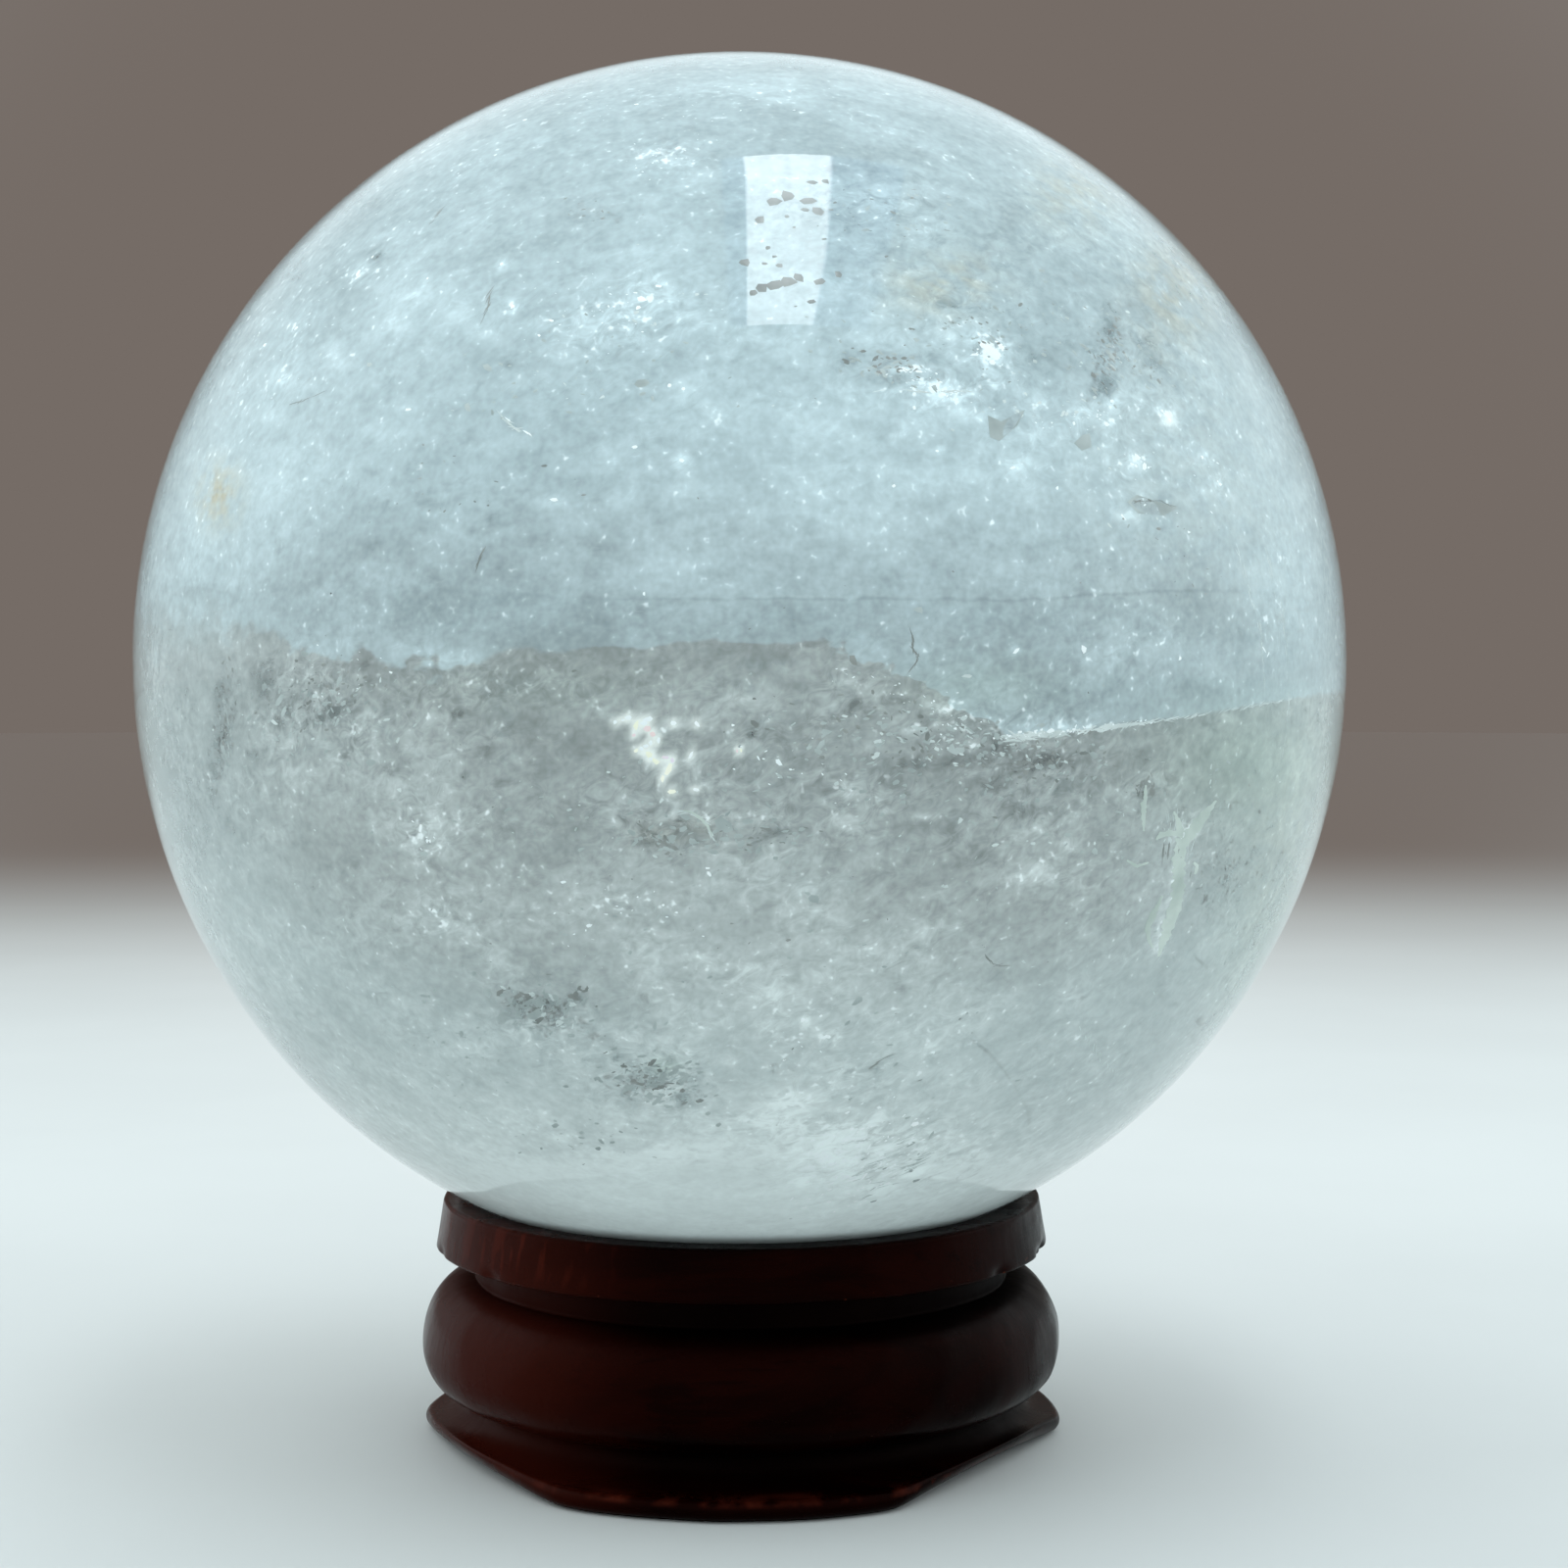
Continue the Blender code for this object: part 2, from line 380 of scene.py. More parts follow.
# A veil, nearly level, crosses the ball: its near edge, and the fine dark line where it meets the far side.
VEIL_EDGE = ((140, 650), (250, 648), (330, 662), (417, 684), (492, 676), (520, 662), (575, 667), (654, 661),
             (726, 654), (780, 658), (839, 655), (918, 679), (970, 716), (1025, 752), (1128, 742),
             (1199, 734), (1326, 712), (1375, 706))
VEIL_LINE = ((140, 598), (420, 600), (600, 611), (785, 611), (935, 611), (1040, 613), (1150, 605),
             (1267, 603), (1375, 613))
VEIL_LINE_DEPTH = ((140, 0.0), (420, 0.1), (640, 0.35), (760, 0.9), (1200, 0.9), (1290, 0.3), (1400, 0.0))
VEIL_EDGE_GLOW = ((140, 0.0), (330, 0.0), (400, 0.5), (480, 0.5), (520, 0.1), (900, 0.1), (1000, 0.5),
                  (1030, 1.2), (1090, 1.0), (1160, 0.5), (1375, 0.35))
VEIL_CRISPNESS = ((140, 0.04), (225, 0.05), (310, 0.3), (500, 0.4), (600, 1.0), (1320, 1.0), (1375, 0.2))
VEIL_RAGGEDNESS = ((140, 1.0), (470, 1.0), (510, 0.2), (830, 0.25), (880, 1.0), (1000, 0.9), (1030, 0.12),
                   (1380, 0.12))

# Patches on the front: centre x and y, half width, half height, and how much cloudier (or clearer) they are.
HAZE_PATCHES = (
    (330, 310, 150, 130, -0.3), (625, 318, 60, 38, 0.55), (683, 157, 46, 18, 0.5), (800, 100, 190, 16, 0.45),
    (560, 395, 110, 60, -0.25), (1150, 505, 120, 60, 0.4), (960, 394, 45, 20, 0.5),
    (1132, 362, 20, 44, -0.3), (905, 372, 34, 16, -0.3), (316, 722, 60, 36, -0.5), (693, 850, 70, 24, -0.4),
    (555, 1035, 44, 28, -0.5), (540, 1010, 80, 50, -0.35), (668, 1106, 54, 26, -0.9),
    (1050, 790, 100, 36, -1.0), (1265, 900, 60, 75, -0.5), (1335, 660, 30, 230, 0.2),
    (812, 1085, 50, 55, 0.5), (866, 1180, 90, 45, 0.5), (430, 850, 30, 30, 0.35), (905, 830, 120, 50, -0.3),
    (195, 600, 80, 90, 0.3), (650, 425, 110, 60, -0.15), (880, 215, 60, 30, -0.2),
    (1100, 300, 120, 90, -0.2), (500, 820, 160, 80, -0.1), (240, 950, 60, 120, 0.2),
)
# Where the wrinkles are deeper, or fade out: the same columns.
BUSY_PATCHES = (
    (1050, 310, 190, 120, 0.4), (1190, 260, 60, 130, 0.3), (690, 830, 130, 50, 0.25),
    (960, 770, 200, 60, 0.3), (905, 1185, 110, 60, 0.45), (560, 1030, 60, 36, 0.5), (668, 1100, 56, 34, 0.5),
    (316, 722, 70, 44, 0.4), (900, 220, 80, 40, 0.3), (620, 320, 110, 60, 0.25), (757, 560, 430, 60, -0.14),
    (780, 110, 260, 60, -0.14), (430, 1130, 160, 90, -0.2), (760, 1230, 300, 40, -0.2),
)
# Small light and dark strokes: x, y, half width, half height, tilt in degrees clockwise, and amount.
STROKES = (
    (269, 694, 12, 19, 0, -1.8), (224, 712, 6, 22, 0, -1.5), (227, 752, 10, 22, 10, -1.6),
    (221, 786, 8, 11, 0, -1.3), (260, 770, 9, 14, -20, -1.3), (287, 735, 9, 8, 0, -2.0),
    (336, 730, 28, 7, -14, -2.0), (372, 682, 8, 9, 0, -1.6), (358, 766, 8, 17, 30, -1.7),
    (345, 722, 16, 6, -10, -1.0), (468, 728, 6, 6, 0, -1.8), (473, 793, 6, 6, 0, -2.0),
    (497, 764, 9, 6, -30, -1.8), (400, 785, 9, 6, -20, -1.5), (512, 797, 8, 6, 0, -1.3),
    (366, 691, 13, 5, -24, 2.2), (323, 692, 15, 5, -6, 1.4), (300, 756, 14, 6, -30, 1.2),
    (255, 757, 9, 6, 0, 1.2), (284, 788, 13, 5, 0, 1.4), (332, 761, 10, 6, 0, 1.3),
    (377, 728, 16, 7, -40, 1.3), (440, 668, 50, 9, 8, 0.8), (350, 655, 60, 9, 0, 0.5),
    (767, 748, 5, 6, 0, -2.0), (795, 778, 7, 5, 40, 1.4), (687, 740, 8, 6, 0, 1.6),
    (676, 742, 9, 5, -50, 1.3), (700, 739, 6, 5, 0, 1.2), (700, 799, 9, 6, 0, 0.9),
    (720, 836, 18, 5, 35, 1.5), (783, 852, 20, 8, 0, -1.6), (660, 858, 14, 7, 0, -1.6),
    (690, 846, 24, 10, 0, -0.8), (755, 714, 20, 5, 0, 1.0), (820, 716, 16, 5, 30, 1.0),
    (728, 727, 16, 8, -30, 0.9), (800, 755, 22, 9, 20, -0.8), (977, 779, 24, 7, -6, -2.0),
    (1024, 763, 13, 8, 0, -2.0), (1071, 777, 26, 7, 0, -1.6), (937, 778, 18, 6, 0, -1.6),
    (973, 858, 6, 14, 0, -1.6), (1166, 806, 7, 12, 0, -2.8), (1166, 770, 8, 8, 0, -1.3),
    (942, 833, 17, 5, -4, 2.0), (1008, 830, 8, 5, -10, 1.8), (1092, 863, 9, 5, 15, 1.9),
    (995, 761, 14, 7, 0, 1.8), (966, 722, 24, 6, 15, 2.0), (928, 747, 12, 5, 5, 1.8),
    (862, 809, 16, 6, 20, 2.2), (855, 838, 12, 6, 0, 1.2), (889, 762, 10, 8, 20, 1.2),
    (867, 717, 14, 7, 0, -1.5), (837, 736, 14, 7, 20, -1.2), (919, 717, 12, 6, 0, -1.3),
    (869, 700, 20, 6, 10, 0.8), (1071, 788, 6, 5, 20, 1.8), (1040, 830, 20, 8, 0, -1.0),
    (1010, 870, 24, 12, 0, -0.9), (1060, 890, 24, 9, 10, 1.0), (900, 790, 14, 8, 0, -1.0),
    (1217, 788, 6, 6, 30, 1.4), (1252, 732, 10, 5, 10, 1.5), (1106, 665, 6, 9, -15, 1.8),
    (1136, 672, 9, 10, 0, 1.2), (1036, 665, 7, 6, -35, 1.6), (1298, 668, 14, 5, 35, 1.0),
    (1322, 782, 14, 24, 0, 0.8), (1206, 850, 12, 7, 0, 2.0), (1200, 900, 8, 40, 10, 2.2),
    (1222, 842, 8, 18, 30, 2.2), (1184, 960, 7, 22, 12, 2.0), (528, 1024, 13, 8, 0, -1.7),
    (556, 1024, 10, 8, 20, -1.9), (571, 1040, 9, 7, 30, -2.2), (545, 1038, 8, 5, 0, 1.6),
    (577, 1046, 7, 8, 40, 1.8), (584, 1020, 14, 6, -40, -2.0), (562, 1014, 12, 5, -20, 1.0),
    (597, 1008, 14, 5, -40, 1.0), (627, 1079, 6, 6, 0, -2.0), (655, 1020, 8, 5, -30, -1.6),
    (661, 1028, 7, 5, -30, -1.4), (637, 1035, 6, 5, -40, -1.2), (655, 1098, 12, 7, -20, -2.4),
    (674, 1104, 9, 6, 0, -1.6), (642, 1115, 9, 7, -30, -2.0), (697, 1121, 13, 8, 0, -2.4),
    (690, 1110, 14, 5, -15, 1.5), (672, 1119, 14, 5, 20, 1.4), (660, 1087, 14, 5, -30, 1.2),
    (679, 1080, 14, 6, 20, -1.4), (590, 1157, 12, 8, 0, -0.9), (564, 1172, 14, 6, 10, -1.0),
    (575, 1163, 12, 5, -30, 0.9), (610, 1120, 10, 6, 0, -0.8), (475, 1105, 14, 8, 0, -0.6),
    (798, 1122, 34, 17, 0, 1.6), (798, 1147, 22, 7, 0, 1.6), (822, 1042, 6, 6, 0, 2.2),
    (846, 1058, 13, 7, 0, 1.8), (952, 1074, 9, 7, 0, 2.0), (793, 1019, 22, 9, 0, 1.0),
    (748, 1084, 7, 7, 0, 1.2), (843, 1180, 8, 7, 0, 2.4), (866, 1201, 11, 6, 0, 2.6),
    (822, 1204, 9, 6, 0, 2.0), (892, 1147, 12, 6, -50, 1.8), (905, 1175, 24, 6, -35, 1.8),
    (930, 1160, 26, 5, -35, -1.2), (905, 1190, 24, 5, -30, -1.2), (890, 1212, 20, 6, -20, 1.5),
    (935, 1195, 24, 6, -25, 1.3), (850, 1160, 10, 6, 0, 1.3), (797, 1180, 12, 6, 0, 1.2),
    (897, 1087, 9, 5, -40, -2.2), (864, 1095, 6, 8, 20, -1.6), (918, 1006, 8, 5, 60, -1.6),
    (1133, 333, 7, 15, 0, -2.6), (1129, 392, 12, 13, 0, -2.2), (1117, 398, 7, 7, 0, -1.8),
    (1171, 350, 20, 6, 40, -1.6), (1183, 372, 14, 6, 30, -1.6), (970, 311, 22, 7, 10, -1.4),
    (1058, 362, 22, 9, 0, -1.4), (912, 387, 16, 6, 0, -1.8), (950, 368, 10, 8, 0, -1.6),
    (867, 367, 12, 8, 0, -1.4), (1088, 350, 14, 7, 0, -1.2), (1105, 345, 10, 6, 0, 0.8),
    (1100, 385, 14, 6, 0, 0.8), (1010, 361, 9, 10, 0, 3.6), (1001, 346, 8, 5, 0, 2.2),
    (1028, 354, 6, 6, 0, 1.8), (1014, 394, 6, 5, 0, 2.6), (929, 377, 17, 5, -4, 2.4),
    (966, 400, 24, 8, 12, 2.8), (952, 392, 14, 6, 10, 1.6), (990, 423, 20, 5, 6, 2.2),
    (933, 415, 6, 5, 0, 2.0), (919, 442, 12, 5, -45, 1.4), (958, 460, 9, 5, 0, 2.0),
    (1037, 475, 13, 8, -15, 1.8), (1058, 411, 18, 9, 0, 1.4), (1112, 416, 34, 6, 0, 1.5),
    (1137, 409, 7, 5, -35, 2.6), (1129, 433, 7, 6, 0, 2.8), (1160, 470, 13, 11, 0, 2.6),
    (1131, 467, 6, 10, 0, 1.6), (1150, 526, 12, 5, 40, 1.6), (1060, 445, 18, 24, 20, 0.9),
    (1190, 425, 12, 7, 45, 2.8), (1228, 467, 8, 8, 0, 1.6), (1245, 493, 7, 8, 0, 2.0),
    (1225, 500, 9, 5, 0, 1.4), (1029, 436, 18, 9, -45, -1.2), (1104, 450, 10, 8, 0, -1.0),
    (1175, 516, 24, 7, 5, -1.3), (1233, 390, 20, 20, 0, 0.7), (1215, 360, 16, 5, 45, 1.0),
    (365, 277, 6, 8, 0, 2.6), (385, 261, 6, 6, 0, -2.6), (512, 270, 6, 6, 0, 2.2), (437, 285, 5, 5, 0, 1.8),
    (523, 314, 6, 6, 0, 2.6), (302, 331, 7, 7, 0, 2.2), (270, 352, 9, 5, 0, 2.2), (272, 332, 8, 8, 0, 1.6),
    (397, 328, 20, 11, 0, 1.2), (420, 300, 24, 10, 0, 1.0), (462, 314, 16, 13, 0, 1.3),
    (495, 335, 20, 8, -10, 1.1), (660, 305, 9, 6, 20, 2.2), (672, 290, 12, 5, 20, 1.4),
    (290, 388, 16, 12, 0, 1.5), (278, 425, 14, 12, 0, 1.4), (345, 374, 10, 7, 0, 1.0),
    (415, 415, 12, 8, 0, 1.4), (388, 440, 30, 9, 0, 1.0), (340, 360, 10, 14, 0, 1.0),
    (520, 371, 7, 5, 0, -1.5), (437, 512, 13, 6, 0, -1.4), (465, 495, 12, 5, -20, -1.0),
    (490, 567, 5, 8, 20, -1.8), (395, 515, 5, 6, 0, -1.6), (502, 530, 5, 5, 0, -1.6),
    (482, 540, 7, 5, 30, -1.0), (612, 557, 12, 5, 0, -1.0), (655, 621, 9, 7, 0, -1.2),
    (285, 560, 5, 10, 0, -1.2), (380, 558, 12, 8, -30, -1.2), (442, 592, 5, 7, 0, -1.3),
    (360, 500, 8, 8, 0, -1.0), (562, 512, 14, 7, 0, 1.8), (695, 470, 9, 11, 0, 1.8),
    (697, 393, 14, 8, 0, 1.6), (717, 382, 8, 8, 0, 1.3), (505, 345, 24, 10, 0, 0.8),
)
# Where the stone is milkier all the way through, and painted brighter with it: the wide patch along the
# bottom is a painted glow of light through the stone. The same columns.
MILK_AND_GLOW_PATCHES = ((757, 1275, 620, 130, 0.75), (740, 480, 330, 160, 0.06), (690, 950, 300, 90, 0.12))
BACK_PATCH_COUNT = 26
STAIN_PATCHES = (
    (223, 505, 22, 30, 0.9), (962, 290, 55, 32, 0.55), (1095, 195, 46, 40, 0.45), (1195, 300, 40, 55, 0.55),
    (690, 850, 40, 14, 0.25), (1230, 500, 120, 160, 0.12), (1318, 930, 44, 190, 0.22),
)
GREEN_PATCHES = ((1267, 778, 90, 62, 0.8), (1300, 990, 60, 150, 0.6), (678, 1088, 18, 10, 0.6),
                 (1000, 700, 80, 30, 0.4), (560, 700, 120, 30, 0.25))

# Clusters of white flecks: centre x and y, half width and height, tilt in degrees, depth and number.
WHITE_CLUSTERS = (
    (683, 157, 40, 14, -12, 0.08, 150), (625, 322, 60, 34, -8, 0.07, 150), (290, 300, 60, 60, 0, 0.08, 110),
    (270, 370, 50, 50, 0, 0.10, 80), (365, 279, 18, 8, 40, 0.06, 20), (300, 400, 60, 60, 0, 0.15, 80),
    (1010, 358, 14, 16, 70, 0.06, 80), (955, 394, 34, 13, 12, 0.06, 150), (1100, 430, 60, 18, 0, 0.08, 40),
    (1160, 475, 60, 30, 10, 0.09, 60), (1180, 560, 90, 30, 5, 0.12, 40), (975, 738, 48, 16, 20, 0.05, 70),
    (1090, 737, 70, 7, -6, 0.04, 70), (428, 852, 16, 22, -20, 0.07, 80), (446, 937, 24, 12, 0, 0.12, 40),
    (812, 1082, 34, 42, 60, 0.14, 90), (866, 1180, 74, 38, -18, 0.10, 300), (640, 921, 30, 12, 0, 0.12, 40),
    (700, 110, 150, 26, 0, 0.06, 120), (430, 190, 110, 40, -32, 0.08, 110), (900, 150, 90, 30, 10, 0.08, 70),
    (350, 690, 55, 12, -8, 0.05, 20), (1240, 640, 90, 16, 0, 0.10, 60), (520, 700, 40, 14, 10, 0.06, 60),
)
# Grey flecks, painted shade where broken faces inside turn to the dark side: the same columns.
GREY_CLUSTERS = (
    (555, 1033, 30, 15, 24, 0.05, 150), (318, 712, 46, 26, -30, 0.05, 150), (228, 745, 8, 48, 4, 0.04, 90),
    (665, 1108, 40, 16, 10, 0.05, 120), (1050, 775, 90, 22, 0, 0.05, 260), (1132, 365, 18, 36, 10, 0.05, 90),
    (905, 372, 36, 12, 10, 0.05, 90), (690, 855, 60, 20, 10, 0.06, 30), (1265, 900, 50, 60, 0, 0.06, 150),
    (600, 215, 30, 14, 0, 0.08, 40), (1185, 800, 20, 30, 0, 0.05, 60), (880, 800, 90, 50, 0, 0.08, 110),
)
# Bright broken faces that meet the skin, painted white as painted glints: x, y, half width, half height and
# tilt in degrees, clockwise.
GLINTS = (
    (1010, 356, 9, 7, 20), (1016, 362, 8, 9, -10), (1003, 352, 6, 5, 0), (1022, 354, 5, 6, 30),
    (1012, 370, 6, 5, 0), (995, 362, 6, 2, -10), (921, 378, 9, 2, -8), (938, 379, 7, 2, 5),
    (933, 416, 3, 3, 0), (1191, 425, 10, 4, 42), (1186, 419, 4, 3, 20), (1129, 433, 5, 4, 0),
    (1135, 409, 4, 3, -30), (1096, 432, 3, 3, 0), (1160, 466, 6, 5, 10), (1168, 476, 4, 6, 30),
    (1155, 474, 4, 3, 0), (1079, 498, 2.5, 3, 0), (912, 496, 2.5, 2.5, 0), (956, 460, 3, 2, 0),
    (1245, 494, 4, 3, 0), (1146, 527, 6, 1.6, 45), (1034, 477, 5, 2, -20), (1227, 467, 4, 3, 0),
    (1213, 543, 4, 2, 0), (365, 279, 4, 7, 0), (380, 262, 3, 3, 0), (302, 335, 4, 3, 0), (270, 352, 6, 3, 0),
    (512, 269, 3, 3, 20), (523, 313, 3.5, 3.5, 0), (436, 284, 2, 2, 0), (550, 342, 3, 2, 30),
    (655, 305, 6, 5, 20), (651, 314, 4, 4, 0), (672, 292, 6, 2, 10), (538, 442, 7, 1.6, 30),
    (518, 428, 6, 1, 35), (416, 418, 6, 2, 0), (565, 510, 5, 3, 10), (657, 606, 2.5, 2.5, 0),
    (683, 393, 3, 3, 0), (697, 397, 3, 3, 0), (695, 470, 4, 3, 0), (648, 456, 4, 3, 0),
    (1037, 664, 5, 3, -35), (1106, 662, 4, 6, -15), (1204, 672, 3, 3, 20), (1290, 663, 8, 1.5, 40),
    (1294, 668, 7, 1.5, -40), (819, 1041, 3, 4, 0), (845, 1058, 5, 3, 10), (952, 1074, 4, 3, 0),
    (843, 1180, 4, 3, 0), (866, 1201, 6, 3, 0), (824, 1206, 4, 2.5, 0), (429, 845, 3, 6, 20),
    (436, 858, 2.4, 3, 0), (722, 886, 5, 2, 0), (724, 892, 4, 2, 50), (748, 740, 3, 2, 0),
    (795, 778, 5, 3, 40),
)
# Air films that split light into colours, in and below the brightest cluster: the same columns, and the
# colour, which is white at 0, cream to pale green below it and rose to lilac above it.
RAINBOW_FILMS = (
    (628, 737, 2.4, 2.4, 0, 0), (641, 732, 3.6, 3, 0, 0), (636, 735, 3, 1.8, -20, 0),
    (649, 741, 3.4, 6.5, 5, -1), (661, 734, 6, 3.2, -8, 0), (657, 738, 4, 3.4, 0, 0),
    (661, 744, 4.4, 3.4, 0, 1), (666, 749, 3, 3.6, 20, 1), (647, 750, 2.6, 2, 0, 1),
    (664, 758, 2.6, 5, 10, 0), (659, 761, 3, 2.2, 0, 0), (672, 756, 2, 4, 10, 0), (649, 766, 3, 2.4, 0, -1),
    (655, 764, 3.2, 3, 0, 0), (662, 770, 3.8, 3.4, 45, -1), (664, 774, 3, 2, 30, 0),
    (669, 777, 6.4, 3.2, 45, -1), (679, 773, 5.4, 2, 5, 1), (686, 776, 2.4, 4, 10, 1),
    (682, 785, 3, 6.5, 25, -1), (676, 795, 2.6, 4.6, 15, -1), (686, 808, 4.6, 2.4, 0, -1),
    (711, 739, 4.8, 2.4, 42, 0), (705, 770, 2.2, 5, 20, 0), (710, 806, 4, 2, 15, 0),
    (752, 766, 1.3, 2.6, 0, 1), (756, 766, 1.3, 2.4, 0, -1), (687, 738, 3.4, 2.6, 0, 0),
    (1193, 428, 5, 2.4, 42, -1),
)
# Sprays of broken faces: x, y, half width and height, tilt of the spray, number, usual half length,
# and the tilt of the pieces. Lengths are in pixels, and tilts in degrees, clockwise.
WHITE_SPRAYS = (
    (1012, 360, 11, 13, 70, 44, 1.5, 0), (960, 399, 32, 9, 14, 60, 1.2, 0), (930, 378, 18, 4, 0, 20, 1.3, 0),
    (1100, 428, 50, 7, -4, 16, 1.1, 0), (1164, 472, 12, 12, 0, 14, 1.2, 30),
    (1128, 430, 14, 8, 0, 8, 1.1, 0), (683, 157, 42, 12, -12, 30, 1.1, -12),
    (625, 318, 52, 28, -8, 36, 1.1, 0), (300, 300, 50, 50, 0, 16, 1.1, 0), (272, 368, 34, 30, 0, 10, 1.1, 0),
    (700, 108, 140, 22, 0, 30, 1.1, 0), (430, 190, 90, 30, -32, 20, 1.1, -32),
    (975, 735, 44, 12, 20, 16, 1.3, 20), (1060, 748, 34, 3, -5, 40, 1.8, -6),
    (1150, 738, 40, 3, -6, 14, 1.5, -6), (360, 700, 46, 12, -10, 6, 1.3, -30),
    (370, 672, 34, 8, 10, 5, 1.3, 20), (876, 1188, 50, 32, -38, 90, 2.6, -38),
    (895, 1180, 46, 36, -36, 60, 2.0, -40), (812, 1082, 30, 40, 60, 12, 1.2, 0),
    (1180, 520, 60, 16, 8, 6, 1.2, 0), (1225, 480, 26, 40, 20, 8, 1.2, 30),
    (430, 852, 10, 16, -20, 8, 1.4, 40), (640, 930, 60, 30, 0, 18, 1.3, 0),
    (800, 780, 60, 24, 20, 22, 1.4, 20), (900, 700, 50, 12, 8, 16, 1.4, 0),
)
PALE_SPRAYS = (
    (757, 950, 430, 190, 0, 50, 1.8, -22), (1060, 860, 220, 100, 0, 24, 2.2, -10),
    (950, 330, 220, 100, 0, 16, 1.6, 0), (1150, 420, 120, 120, 30, 20, 1.8, 30),
    (560, 820, 220, 90, 0, 20, 2.0, -10), (1060, 418, 60, 12, -8, 24, 2.2, 0),
    (620, 330, 90, 50, 0, 20, 1.6, 0), (290, 340, 70, 90, 0, 20, 1.6, 0),
    (330, 720, 90, 34, 0, 16, 2.4, -28), (980, 750, 90, 26, 10, 60, 2.6, 20),
    (552, 1028, 30, 14, 20, 16, 3.0, -40), (668, 1105, 46, 24, 14, 24, 3.0, -34),
    (1215, 880, 70, 70, 0, 20, 2.4, 80),
)
DARK_SPRAYS = (
    (757, 640, 560, 520, 0, 50, 1.2, 0), (757, 950, 430, 190, 0, 60, 1.3, -20),
    (540, 1026, 24, 11, 20, 34, 3.0, -36), (584, 1022, 20, 6, -40, 14, 3.0, -40),
    (664, 1100, 34, 16, 22, 44, 3.0, -32), (318, 712, 46, 24, -20, 60, 2.2, -30),
    (228, 745, 8, 48, 4, 40, 2.4, 80), (1050, 778, 80, 18, 0, 110, 2.2, 10),
    (900, 745, 80, 40, 10, 60, 2.2, 20), (1162, 805, 3, 9, 0, 12, 2.6, 80),
    (1176, 803, 3, 9, 0, 12, 2.6, 100), (1265, 890, 50, 60, 0, 50, 1.8, 70),
    (1132, 360, 9, 34, 10, 44, 2.4, 50), (1150, 372, 36, 8, 20, 26, 2.2, 20),
    (905, 372, 32, 10, 10, 36, 2.4, 10), (672, 856, 26, 8, 30, 26, 2.6, 30),
    (780, 850, 40, 14, 0, 24, 2.4, 0), (905, 215, 50, 20, 0, 24, 2.0, 0), (600, 215, 30, 14, 0, 14, 2.0, 0),
    (1010, 330, 90, 40, 0, 44, 1.8, 20), (1210, 560, 60, 40, 0, 24, 1.6, 0),
    (455, 500, 90, 40, 0, 24, 1.6, 0),
)
SHADED_SPRAYS = (
    (757, 950, 430, 190, 0, 150, 2.4, -22), (1050, 800, 150, 60, 0, 120, 2.8, -8),
    (552, 1028, 38, 18, 20, 80, 4.0, -38), (668, 1103, 50, 22, 14, 90, 3.8, -30),
    (318, 720, 60, 40, -20, 90, 3.2, -30), (228, 745, 9, 50, 4, 36, 3.2, 80),
    (700, 850, 90, 26, 4, 80, 3.0, 6), (880, 760, 110, 40, 0, 80, 2.8, -10),
    (930, 1176, 40, 24, -36, 16, 3.2, -38), (1250, 890, 60, 70, 0, 70, 2.8, 70),
    (1150, 370, 60, 40, 20, 60, 2.8, 30), (905, 374, 40, 14, 10, 40, 2.6, 10),
    (1010, 330, 110, 50, 0, 70, 2.4, 10), (600, 1160, 50, 20, 0, 26, 3.0, 0),
    (470, 1060, 60, 50, 0, 40, 2.6, -30), (560, 395, 140, 60, 0, 50, 2.2, -10),
    (905, 215, 60, 24, 0, 36, 2.2, 0), (1010, 760, 60, 14, 0, 50, 3.0, 6),
)
# Darker flat faces, as polygons of pixels.
FLAT_FACES = (
    ((1008, 424), (1022, 430), (1046, 418), (1038, 434), (1020, 450), (1010, 446)),
    ((1096, 452), (1104, 444), (1112, 442), (1114, 456), (1104, 460)),
    ((1150, 512), (1160, 505), (1182, 512), (1202, 518), (1188, 526), (1162, 524)),
)

# Pale ribbons, where a healed crack comes to the skin: rows of x, y and half width.
RIBBONS = (
    ((1206, 856, 7), (1204, 870, 7), (1203, 885, 6.5), (1203, 900, 6.5), (1201, 915, 6), (1197, 930, 6.5),
     (1192, 945, 6), (1189, 957, 4.5), (1185, 966, 3), (1182, 976, 1)),
    ((1206, 864, 3), (1213, 853, 5.5), (1220, 843, 5.5), (1228, 832, 4.5), (1236, 824, 2.5), (1241, 817, 1)),
    ((1180, 857, 1), (1184, 852, 3), (1195, 850, 3), (1207, 852, 3)),
    ((1205, 850, 4), (1203, 840, 3), (1198, 828, 1)),
    ((1186, 914, 1), (1181, 925, 2.5), (1175, 936, 3), (1171, 948, 3.5), (1172, 958, 2), (1176, 967, 1)),
    ((1169, 801, 1), (1169, 815, 2.5), (1167, 822, 3.5), (1167, 832, 2.5), (1167, 848, 1)),
    ((1218, 880, 1), (1222, 884, 2), (1219, 892, 1)), ((1150, 878, 1), (1160, 884, 2), (1172, 880, 1)),
    ((697, 827, 0.6), (706, 829, 1.2), (716, 836, 1.5), (723, 844, 1.1), (727, 854, 0.5)),
)
